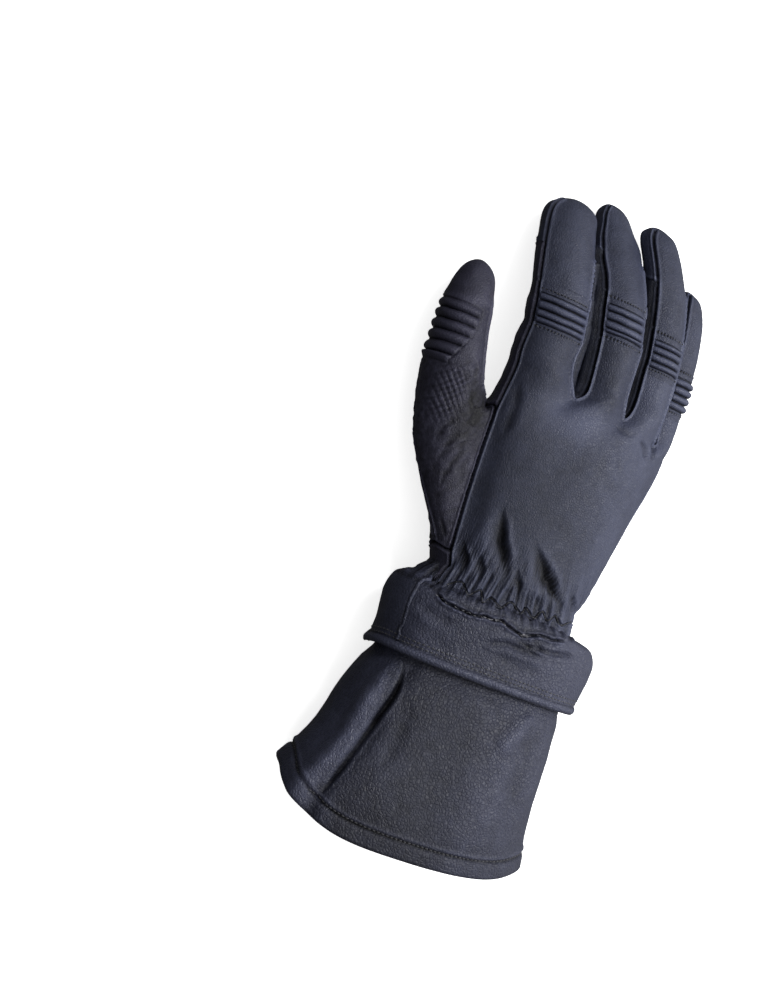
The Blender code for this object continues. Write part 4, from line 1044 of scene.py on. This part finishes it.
def cuff(name, nodes, table, low_deg, high_deg, top, end, cols, rows, wall, relief_and_shade, mat, slot, lift=0.0, floor=0.0,
         inner=0.25):
    """A piece of the cuff: a fine grid round the wrist with its relief, an inner wall and rounded edges."""
    angles = np.linspace(low_deg, high_deg, cols + 1)
    ys = np.array([[top(a) + (end(a) - top(a)) * t for a in angles] for t in np.linspace(0, 1, rows + 1)])
    grid = np.empty((rows + 1, cols + 1, 3))
    for r in range(rows + 1):
        for c, a in enumerate(angles):
            x, z = oval(smooth_row(table, ys[r, c]), a)
            grid[r, c] = (x, ys[r, c], max(z, floor))
    n = unit(np.cross(np.gradient(grid, axis=1), np.gradient(grid, axis=0)))
    outward = grid - np.array([grid[..., 0].mean(), 0, grid[..., 2].mean()])
    if (n * outward)[..., (0, 2)].sum() < 0:
        n = -n
    p, nn = grid.reshape(-1, 3), n.reshape(-1, 3)
    hem, head = np.abs(ys - ys[-1]).ravel(), np.abs(ys - ys[0]).ravel()
    shape, fine = relief_and_shade(p, nn, np.tile(angles, rows + 1), hem, head)
    edge = wall * 0.5 * (rounded(hem, wall * 0.6) + 0.9 * rounded(head, wall * 0.6))
    outer = p + nn * (lift + shape + fine * 0.55 - edge)[:, None]
    # The inner wall has fewer rows and follows the large shapes only
    keep = np.unique(np.round(np.linspace(rows, 0, max(4, int(rows * inner)))).astype(int))[::-1]
    depth = lift - wall + np.minimum(0.8 * shape, 0.4).reshape(rows + 1, cols + 1)
    depth[[0, rows]] += wall * 0.5
    inside = (grid + n * depth[..., None])[keep]
    verts = np.vstack([outer, inside.reshape(-1, 3)])
    verts[:, 2] = np.maximum(verts[:, 2], floor)
    starts = np.arange(rows + 1 + len(keep)) * (cols + 1)
    a, b = (line[:, None] + np.arange(cols) for line in (starts, np.roll(starts, -1)))
    quads = np.stack([a, a + 1, b + 1, b], 2).reshape(-1, 4)
    outside = quads[:cols * rows]
    across, down = (verts[outside[:, k]] - verts[outside[:, 0]] for k in (1, 3))
    if (np.cross(across, down) * nn[outside[:, 0]]).sum() < 0:
        quads = quads[:, ::-1]
    # The colour follows the relief as painted shade and highlight; the inner wall gets painted shade
    tone = np.concatenate([fine + 0.12 * shape, np.full(len(verts) - len(outer), -0.3)])
    piece(name, verts, quads, mat, nodes, tone)
    return verts, quads


def turn_from(deg, where):
    """Angle round the cuff from a place, -180 to 180 degrees."""
    return (deg - where + 180) % 360 - 180


def seam_at(deg, where):
    """Distance in mm round the cuff from a seam at an angle."""
    return np.abs(turn_from(deg, where)) * math.pi / 180 * CUFF_RADIUS


def far_seam(deg):
    """Relief of the seam on the little-finger side: a groove with a lip beside it."""
    away = seam_at(deg, FAR_SEAM_DEG)
    return -0.8 * bell(away, 0, 0.8) + 0.35 * bell(away, 2.2, 1.0)


def band_relief(p, n, deg, hem, head):
    """The gathered band: tucked in and puffed at its sides, creased, with its top seam and the elastic's pleats."""
    view, facing = view_of(p), n @ TOWARDS
    thumb_side = bell(turn_from(deg, 168), 0, 34)
    little_side = bell(turn_from(deg, 4), 0, 38)
    tuck = -(4.0 + 12.0 * thumb_side + 2.5 * little_side) \
        * (1 - np.clip(head / (7.0 + 10.0 * thumb_side + 3.0 * little_side), 0, 1)) ** 1.6
    puff = (1.8 * little_side + 1.2 * thumb_side) * np.sin(math.pi * np.clip(head / (head + hem + 0.1), 0, 1)) \
        - 0.3 * little_side * (1 - step(hem, 0, 5))
    folds = strokes(view, facing, BAND_FOLDS)
    low = view[:, 1] - np.interp(view[:, 0], BAND_SEAM[:, 0], BAND_SEAM[:, 1])
    low = low + 0.5 * noise(p, 5.0, 20) + 0.25 * noise(p, 1.8, 26)
    rough = 0.8 * noise(p, 1.5, 21)
    back = step(facing, -0.3, 0.1) * step(view[:, 0], -36, -31) * step(36 - view[:, 0], 0, 5)
    join = back * (0.8 * bell(low, 1.3, 0.8) - 1.5 * bell(low, -0.1, 0.6)
                   + 0.8 * bell(low, -1.4, 0.7)) * (1 + rough)
    gather = (gathers(p, view) + zigzag(view)) * step(low, -1, 1) * step(facing, 0.0, 0.3)
    seam = far_seam(deg) - 0.9 * bell(seam_at(deg, WELT_DEG), 0, 0.9)
    shape = tuck + puff + 1.3 * folds + join + gather + seam + 0.8 * noise(p, 17.0, 22) * step(head, 2, 9) \
        + 0.35 * noise(p * (0.6, 1.3, 0.6), 7.0, 23)
    place = bell(view[:, 0], 21, 10) * bell(view[:, 1], -16, 3.8)
    crinkle = 0.9 * noise(p * (0.6, 1.8, 1), 2.6, 27)
    shape += place * crinkle
    # Painted shade in the crinkles, folds, gathers and seams and a painted shadow just above the top seam, painted
    # light on the right side
    fine = 0.15 * noise(p, 4.5, 24) + 0.08 * noise(p, 2.1, 25) + place * (crinkle - 0.8) \
        + 0.4 * step(view[:, 0], 10, 36) - 0.1 - 0.6 * step(facing, 0.0, 0.3) * bell(low, 1.8, 1.5)
    return shape, fine + 0.25 * folds + 0.9 * join + 0.8 * gather + 0.5 * seam


def band_head(deg):
    """The band's top edge, higher where it is gathered over the thumb side."""
    return BAND_TOP + 12.5 * math.exp(-(turn_from(deg, 172) / 26) ** 2)


def band_edge(deg):
    """Where the band's binding sits: over the back a little above the line the solids keep."""
    return band_hem(deg) + 3.5 * (1 - palm_bump(deg)) * step(math.sin(math.radians(deg)), -0.5, 0.3)


def gauntlet_relief(p, n, deg, hem, _):
    """The gauntlet: its pleat, slack folds, rolled hem with the groove of its stitches, and the far seam."""
    view, facing = view_of(p), n @ TOWARDS
    pleat = np.array([fold(a, y) for a, y in zip(deg, p[:, 1])])
    folds = strokes(view, facing, GAUNTLET_FOLDS)
    ridge = pleat > 0.8
    roll = 0.55 * step(9.0 - hem, 0, 3) * step(hem, 0, 1.5)
    line = -0.75 * bell(hem, 9.3, 0.7) + 0.4 * bell(hem, 11.2, 1.0)
    far = far_seam(deg)
    shape = pleat + folds + roll + line + far + 1.3 * noise(p, 30.0, 31) * step(hem, -4, 20) \
        + 0.5 * noise(p, 13.0, 32) + 0.3 * noise(p * (1, 0.5, 1), 5.5, 33) * ridge
    fine = 0.14 * noise(p, 4.0, 34) + 0.09 * noise(p, 2.0, 35) + 0.25 * noise(p, 2.4, 36) * ridge
    # Painted shade in the folds, the pleat's crease, the hem's stitch groove and the far seam, growing towards the hem;
    # painted highlight on the ridges, painted light on the right side and left of the pleat
    return shape, fine + 0.3 * folds + 0.9 * line + 0.4 * far + 0.12 * pleat - 0.3 * step(46 - hem, 0, 46) - 0.5 \
        + 0.6 * step(view[:, 0], 0, 34) + 0.5 * step(-38 - view[:, 0], 0, 8) * step(facing, -0.4, 0)


def plain_relief(p, *_):
    """Smooth leather or tape."""
    return 0.12 * noise(p, 9.0, 41), 0.08 * noise(p, 2.2, 42)


def bound_relief(p, _n, _deg, hem, head):
    """A turned strip that swells between its edges, with a painted highlight along its crown."""
    crown = np.sin(math.pi * np.clip(head / (head + hem + 0.01), 0, 1))
    return 0.6 * crown + 0.1 * noise(p, 7.0, 45), 0.9 * crown - 0.35 + 0.12 * noise(p, 2.2, 46)


def pile_relief(p, *_):
    """Fleece."""
    return 0.5 * noise(p, 6.0, 43), 0.35 * noise(p, 1.7, 44)


# Halves of band and gauntlet, then what is sewn or lies inside them
band_rows = sized(BAND, BAND_LENGTH)
gauntlet_rows = sized(GAUNTLET, BAND_LENGTH - CUFF, -BAND_LENGTH)
lining_rows = sized(LINING, BAND_LENGTH)
cuffs = []
for half, cols, band_count, gauntlet_count in (("back", 260, 90, 150), ("palm", 150, 60, 100)):
    welt_span, fold_span = ((FAR_SEAM_DEG, seam) if half == "back" else (seam, 360 + FAR_SEAM_DEG)
                            for seam in (WELT_DEG, FOLD_DEG))
    cuffs.append(cuff("band_%s_leather" % half, ["band_" + half], band_rows, *welt_span, band_head, band_edge, cols,
                      band_count, CUFF_WALL, band_relief, CUFF_SKIN, "cuff_leather", floor=GAP + BINDING_WALL))
    cuffs.append(cuff("gauntlet_%s_leather" % half, ["gauntlet_" + half], gauntlet_rows, *fold_span, zip_line, hem_y,
                      cols, gauntlet_count, CUFF_WALL, gauntlet_relief, CUFF_SKIN, "cuff_leather"))
cuff_tree = tree_of(*cuffs)

cuff("band_binding_leather", ["band_binding"], band_rows, WELT_DEG - 360, WELT_DEG, lambda a: band_edge(a) + BINDING,
     lambda a: band_edge(a) - BINDING_LIP, 300, 16, BINDING_WALL, bound_relief, CUFF_SKIN, "cuff_leather",
     lift=GAP + BINDING_WALL)
cuff("wrist_lining_fleece", ["wrist_lining"], lining_rows, WELT_DEG - 360, WELT_DEG, lambda _: LINING_TOP, lining_end,
     240, 50, LINING_WALL, pile_relief, PILE, "fleece", inner=0.9)
cuff("hem_facing_leather", ["hem_facing"], gauntlet_rows, FOLD_DEG - 360, FOLD_DEG, lambda a: hem_y(a) + HEM,
     lambda a: hem_y(a) + 0.6, 240, 14, HEM_WALL, plain_relief, CUFF_SKIN, "cuff_leather", lift=-CUFF_WALL - 0.1)
cuff("zip_tape", ["zip_chain"], gauntlet_rows, FOLD_DEG - 360, FOLD_DEG, lambda a: lining_end(a) + 4.0,
     lambda a: zip_line(a) - 2.5, 240, 12, 2.4, plain_relief, THREAD, "zip_metal", lift=-0.4, inner=1.0)


def cuff_point(table, deg, y, lift=0.0):
    """Point of a cuff at an angle and a height along it, lifted off by some mm."""
    x, z = oval(smooth_row(table, y), deg)
    return np.array([x + lift * math.cos(math.radians(deg)), y, z + lift * math.sin(math.radians(deg))])


# Zip teeth in two staggered rows, and the slider with its pull
tooth = np.array(list(itertools.product((-0.42, 0.42), (-1.15, 1.15), (-0.5, 0.5))))
tooth[tooth[:, 1] > 0] *= (0.72, 1, 0.8)
tooth_faces = np.array([(0, 1, 3, 2), (4, 6, 7, 5), (0, 4, 5, 1), (2, 3, 7, 6), (0, 2, 6, 4), (1, 5, 7, 3)])
path = np.array([cuff_point(gauntlet_rows, a, mid_zip(a)) for a in np.linspace(FOLD_DEG - 360, FOLD_DEG, 721)])
pts, along = resample(path, 0.85)
middle = np.array([path[:, 0].mean(), 0, path[:, 2].mean()])
verts, faces_list = [], []
for i, (p, d) in enumerate(zip(pts, along)):
    out = p - middle
    out[1] = 0
    n = unit(out - d * out.dot(d))
    side = np.cross(n, d) * (1 if i % 2 else -1)
    verts.append(p + n * 0.55 - side * 0.75 + tooth @ np.array([d, side, n]))
    faces_list.append(tooth_faces + 8 * i)
piece("zip_teeth", np.vstack(verts), np.vstack(faces_list), STEEL, smooth=False)
# Slider: a waisted shell with a bridge, and a tapered pull hanging from it
lean = math.radians(SLIDER_DEG)
hub = cuff_point(gauntlet_rows, SLIDER_DEG, mid_zip(SLIDER_DEG), SLIDER[2] / 2 + SLIDER_CLEAR)
round_wrist = np.array([-math.sin(lean), 0.0, math.cos(lean)])
outwards = np.array([math.cos(lean), 0.0, math.sin(lean)])
frame_of = np.array([round_wrist, (0.0, 1.0, 0.0), outwards])


def plate(outline, low, high, bevel=0.35):
    """Closed plate from an outline in its own plane, with eased edges."""
    outline = np.asarray(outline, float)
    centre = outline.mean(0)
    rings = [(1 - bevel / 4, low), (1, low + bevel), (1, high - bevel), (1 - bevel / 4, high)]
    v = np.vstack([np.column_stack([centre + (outline - centre) * k, np.full(len(outline), z)]) for k, z in rings])
    n = len(outline)
    v = np.vstack([v, [[*centre, low], [*centre, high]]])
    f = []
    for i in range(n):
        j = (i + 1) % n
        f += [(r * n + i, r * n + j, (r + 1) * n + j, (r + 1) * n + i) for r in range(3)]
        f += [(4 * n, j, i), (4 * n + 1, 3 * n + i, 3 * n + j)]
    return v, f


turn = np.radians(np.arange(24) * 15)
body = np.stack([4.0 * np.cos(turn), 2.5 * np.sin(turn) * (1 - 0.28 * bell(np.cos(turn), 0, 0.35))], 1)
pull = np.stack([2.0 + 2.6 * np.cos(turn) + 2.6, 1.35 * np.sin(turn)], 1)
for name, outline, low, high in (("slider_back", body, -1.2, -0.3), ("slider_front", body, 0.3, 1.2),
                                 ("slider_pull", pull, 1.35, 2.0)):
    v, f = plate(outline, low, high)
    mesh = bpy.data.meshes.new(name)
    mesh.from_pydata(((hub + v @ frame_of - ORIGIN) * 0.001).tolist(), [], f)
    mesh.validate()
    mesh.materials.append(STEEL)
    obj = bpy.data.objects.new("zip_" + name, mesh)
    bpy.context.scene.collection.objects.link(obj)
    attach(obj, "root")
    if name == "slider_front":
        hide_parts("zip_slider")
bridge = hub + np.array([(-1.6, 0, 1.0), (-1.2, 0, 2.2), (0, 0, 2.7), (1.2, 0, 2.2), (1.6, 0, 1.0)]) @ frame_of
v, f = tube(curve(bridge, 0.3), 0.45, 8)
piece("zip_slider_bridge", v, f, STEEL)

# Welt down the thumb side of the band
welt_line = []
for t in np.linspace(0.0, 1.0, 60):
    y = BAND_TOP + (band_edge(WELT_DEG) + BINDING + 1.0 - BAND_TOP) * t
    point = cuff_point(band_rows, WELT_DEG, y)
    hit, normal, _, _ = cuff_tree.find_nearest(Vector(point))
    welt_line.append(np.array(hit) + np.array(normal) * (0.75 + 0.1 * math.sin(t * 23)))
v, f = tube(welt_line, PIPE + 0.15, 12)
piece("band_welt_leather", v, f, CUFF_SKIN, ["band_welt"], 0.5 * noise(v, 3.0, 51))


def round_cuff(table, level, low, high):
    """Line round a cuff at a height given for each angle."""
    return [cuff_point(table, a, level(a)) for a in np.linspace(low, high, 500)]


# Stitch rows round the cuffs: two above the band's binding, one along the gauntlet's turned hem
rows = [round_cuff(band_rows, lambda a: band_edge(a) + BINDING + 1.2, WELT_DEG - 359, WELT_DEG),
        round_cuff(band_rows, lambda a: band_edge(a) + BINDING + 3.4, WELT_DEG - 359, WELT_DEG),
        round_cuff(gauntlet_rows, lambda a: hem_y(a) + 9.3, FOLD_DEG - 359, FOLD_DEG)]
stitched("cuff_stitches", rows, DARK, cuff_tree, length=1.7, radius=0.25, pitch=2.5)

# Thread in the zigzag of the elastic
front_tree = tree_of(dressed["back"][:2], *cuffs)
eye = AIM + TOWARDS * DISTANCE


def seen(at_view, lift):
    """The point of the glove's surface that the photograph shows at a place of the view."""
    target = AIM + ACROSS * (at_view[0] - CENTRE[0]) + np.array([0, at_view[1] - CENTRE[1], 0])
    ray = unit(target - eye)
    hit, normal, _, _ = front_tree.ray_cast(Vector(eye), Vector(ray))
    return None if hit is None else np.array(hit) + np.array(normal) * lift


line = [seen(q, 0.0) for q in curve(AT_WRIST, 0.5)]
line = np.array([q for q in line if q is not None])
stitched("elastic_zigzag", [line], DARK, front_tree, length=1.25, radius=0.3, pitch=1.3, proud=0.0)

# Frayed ends of thread along the band's top seam
lint = []
for i in range(46):
    t = noise(np.array([[i * 1.7, 3.1, 0.4]]), 1.0, 71)[0] * 0.5 + 0.5
    x = -38 + 55 * t if i < 26 else 10 + 8 * t
    first, second = noise(np.array([[i * 2.3, 7.7, 1.9], [i * 1.3, 2.2, 9.1]]), 1.0, 72)
    y = np.interp(x, BAND_SEAM[:, 0], BAND_SEAM[:, 1]) + 0.9 * first
    a = seen((x, y), 0.15)
    b = seen((x + 0.9, y + 0.8 * second), 0.3)
    if a is not None and b is not None:
        lint.append([a, b])
stitched("seam_lint", lint, LIGHT, front_tree, length=0.9, radius=0.16, pitch=1.2, proud=0.1)


def patch(name, table, cols):
    """A patch sewn under the palm: its grid lies on the skin, puffed out between its edges."""
    table = np.array(table)
    verts = []
    for u in np.linspace(0, len(table) - 1, cols + 1):
        k = min(int(u), len(table) - 2)
        row = spline(table[max(k - 1, 0)], table[k], table[k + 1], table[min(k + 2, len(table) - 1)], u - k)
        for r in range(PATCH_ROWS + 1):
            w = r / PATCH_ROWS
            verts.append((WIDTH * row[0], HAND * (row[1] + (row[2] - row[1]) * w), w, max(row[3], 0.0), u))
    grid = []
    for x, y, w, puff, u in verts:
        hit, normal, _, _ = under_tree.ray_cast(Vector((x, y, -100.0)), Vector((0.0, 0.0, 1.0)))
        if hit is None:
            hit, _, _, _ = under_tree.find_nearest(Vector((x, y, 0.0)))
            normal = Vector((0, 0, -1))
        rim = min(min(w, 1 - w) * HAND * 0.15, min(u, len(table) - 1 - u) * 9.0)
        rise = PAD_PUFF * puff * math.sin(math.pi * w)
        tuck_in = (LIFT + PATCH_WALL) * (1 - math.exp(-rim / 0.9))
        grid.append(np.array(hit) + np.array(normal) * (tuck_in + rise))
    grid, share = np.array(grid), np.array(verts)[:, 2]
    relief_and_shade = 0.5 * noise(grid * (1, 1.4, 1), 5.0, 61) + 0.25 * noise(grid, 2.6, 62)
    grid[:, 2] = np.maximum(grid[:, 2] - relief_and_shade * ((share >= 0.06) & (share <= 0.94)), 0.0)
    n = PATCH_ROWS + 1
    quads = np.array([(c * n + r, c * n + r + 1, (c + 1) * n + r + 1, (c + 1) * n + r)
                      for c in range(cols) for r in range(PATCH_ROWS)])
    # Painted highlight on the patch's bulges and painted shade in its dents
    made = piece(name + "_leather", grid, quads, PALM, [name], 0.6 * relief_and_shade)
    return grid.reshape(cols + 1, n, 3), quads, made


heel, heel_q, _ = patch("heel_patch", HEEL_PATCH, 110)
pad, pad_q, cushion = patch("knuckle_pad", KNUCKLE_PAD, 130)
patch_tree = tree_of((heel.reshape(-1, 3), heel_q), (pad.reshape(-1, 3), pad_q))
rows = []
for g, inset in ((heel, (3, 7)), (pad, (3,))):
    for k in inset:
        rows += [g[k:-k, k], g[k:-k, -1 - k], g[k, k:-k], g[-1 - k, k:-k]]
stitched("patch_stitches", rows, THREAD, patch_tree, length=1.6, radius=0.24, pitch=2.4)
v, f = tube(pad[:, 0] + np.array([0, -0.6, 0.4]), 0.9, 10)
v[:, 2] = np.maximum(v[:, 2], 0.0)
piece("pad_piping", v, f, PALM)

# Floor, backdrop, light and camera, in metres
FLOOR, BACKDROP = 7.0, 9.0    # half width of the floor, radius of the backdrop
FLOOR_CLEAR = 0.0004          # floor below the leather that rests on it
BRIGHT_FROM = (0.62, 0.24, 0.75)  # where the surroundings are brightest
SENSOR = 36.0                 # width of the camera's sensor in mm
floor_mat, _, shader = material("pale_floor")
shader.inputs["Base Color"].default_value = (0.92, 0.92, 0.92, 1)
shader.inputs["Roughness"].default_value = 0.9
shader.inputs["Specular IOR Level"].default_value = 0.1
shader.inputs["Emission Color"].default_value = (1, 1, 1, 1)
shader.inputs["Emission Strength"].default_value = 0.75
mesh = bpy.data.meshes.new("floor")
mesh.from_pydata([(-FLOOR, -FLOOR, 0), (FLOOR, -FLOOR, 0), (FLOOR, FLOOR, 0), (-FLOOR, FLOOR, 0)], [], [(0, 1, 2, 3)])
mesh.materials.append(floor_mat)
floor = bpy.data.objects.new("floor", mesh)
floor.location.z = -FLOOR_CLEAR
bpy.ops.mesh.primitive_uv_sphere_add(segments=48, ring_count=24, radius=BACKDROP)
backdrop = bpy.context.object
backdrop.name = "backdrop"
backdrop.data.materials.append(floor_mat)
bpy.context.scene.collection.objects.link(floor)
for stage in (floor, backdrop):
    stage.visible_diffuse = stage.visible_glossy = False
backdrop.visible_shadow = False

# Soft studio surroundings, brighter from the right and above
world = bpy.data.worlds.new("studio")
world.use_nodes = True
nodes, links = world.node_tree.nodes, world.node_tree.links
coord = nodes.new("ShaderNodeTexCoord")
lean_to = nodes.new("ShaderNodeVectorMath")
lean_to.operation = "DOT_PRODUCT"
lean_to.inputs[1].default_value = BRIGHT_FROM
span = nodes.new("ShaderNodeMapRange")
span.interpolation_type = "SMOOTHSTEP"
span.inputs["From Min"].default_value, span.inputs["From Max"].default_value = -0.30, 1.0
span.inputs["To Min"].default_value, span.inputs["To Max"].default_value = 0.08, 1.12
links.new(coord.outputs["Generated"], lean_to.inputs[0])
links.new(lean_to.outputs["Value"], span.inputs["Value"])
links.new(span.outputs["Result"], nodes["Background"].inputs["Strength"])
nodes["Background"].inputs["Color"].default_value = (1.0, 1.0, 1.0, 1)
bpy.context.scene.world = world


def softbox(name, place, size, watts):
    """A round soft light that points at the glove."""
    light = bpy.data.lights.new(name, "AREA")
    light.shape = "DISK"
    light.size = size
    light.energy = watts
    obj = bpy.data.objects.new(name, light)
    obj.location = place
    obj.rotation_euler = (Vector((0, 0, 0.03)) - Vector(place)).to_track_quat("-Z", "Y").to_euler()
    bpy.context.scene.collection.objects.link(obj)


softbox("key", (0.80, 0.25, 0.80), 0.40, 12.0)
softbox("top", (0.05, 0.75, 0.95), 0.30, 4.0)

camera = bpy.data.cameras.new("camera")
camera.sensor_width = SENSOR
camera.lens = SENSOR * (DISTANCE / FIELD)
camera.clip_start, camera.clip_end = 0.05, 20.0
right = ACROSS * math.cos(ROLL) + np.array([0.0, math.sin(ROLL), 0.0])
up = np.array([0.0, math.cos(ROLL), 0.0]) - ACROSS * math.sin(ROLL)
place = (AIM + TOWARDS * DISTANCE - ORIGIN) * 0.001
matrix = Matrix([[right[i], up[i], TOWARDS[i], place[i]] for i in range(3)] + [[0, 0, 0, 1]])
viewer = bpy.data.objects.new("camera", camera)
viewer.matrix_world = matrix
bpy.context.scene.collection.objects.link(viewer)
bpy.context.scene.camera = viewer
bpy.context.scene.view_settings.view_transform = "Standard"
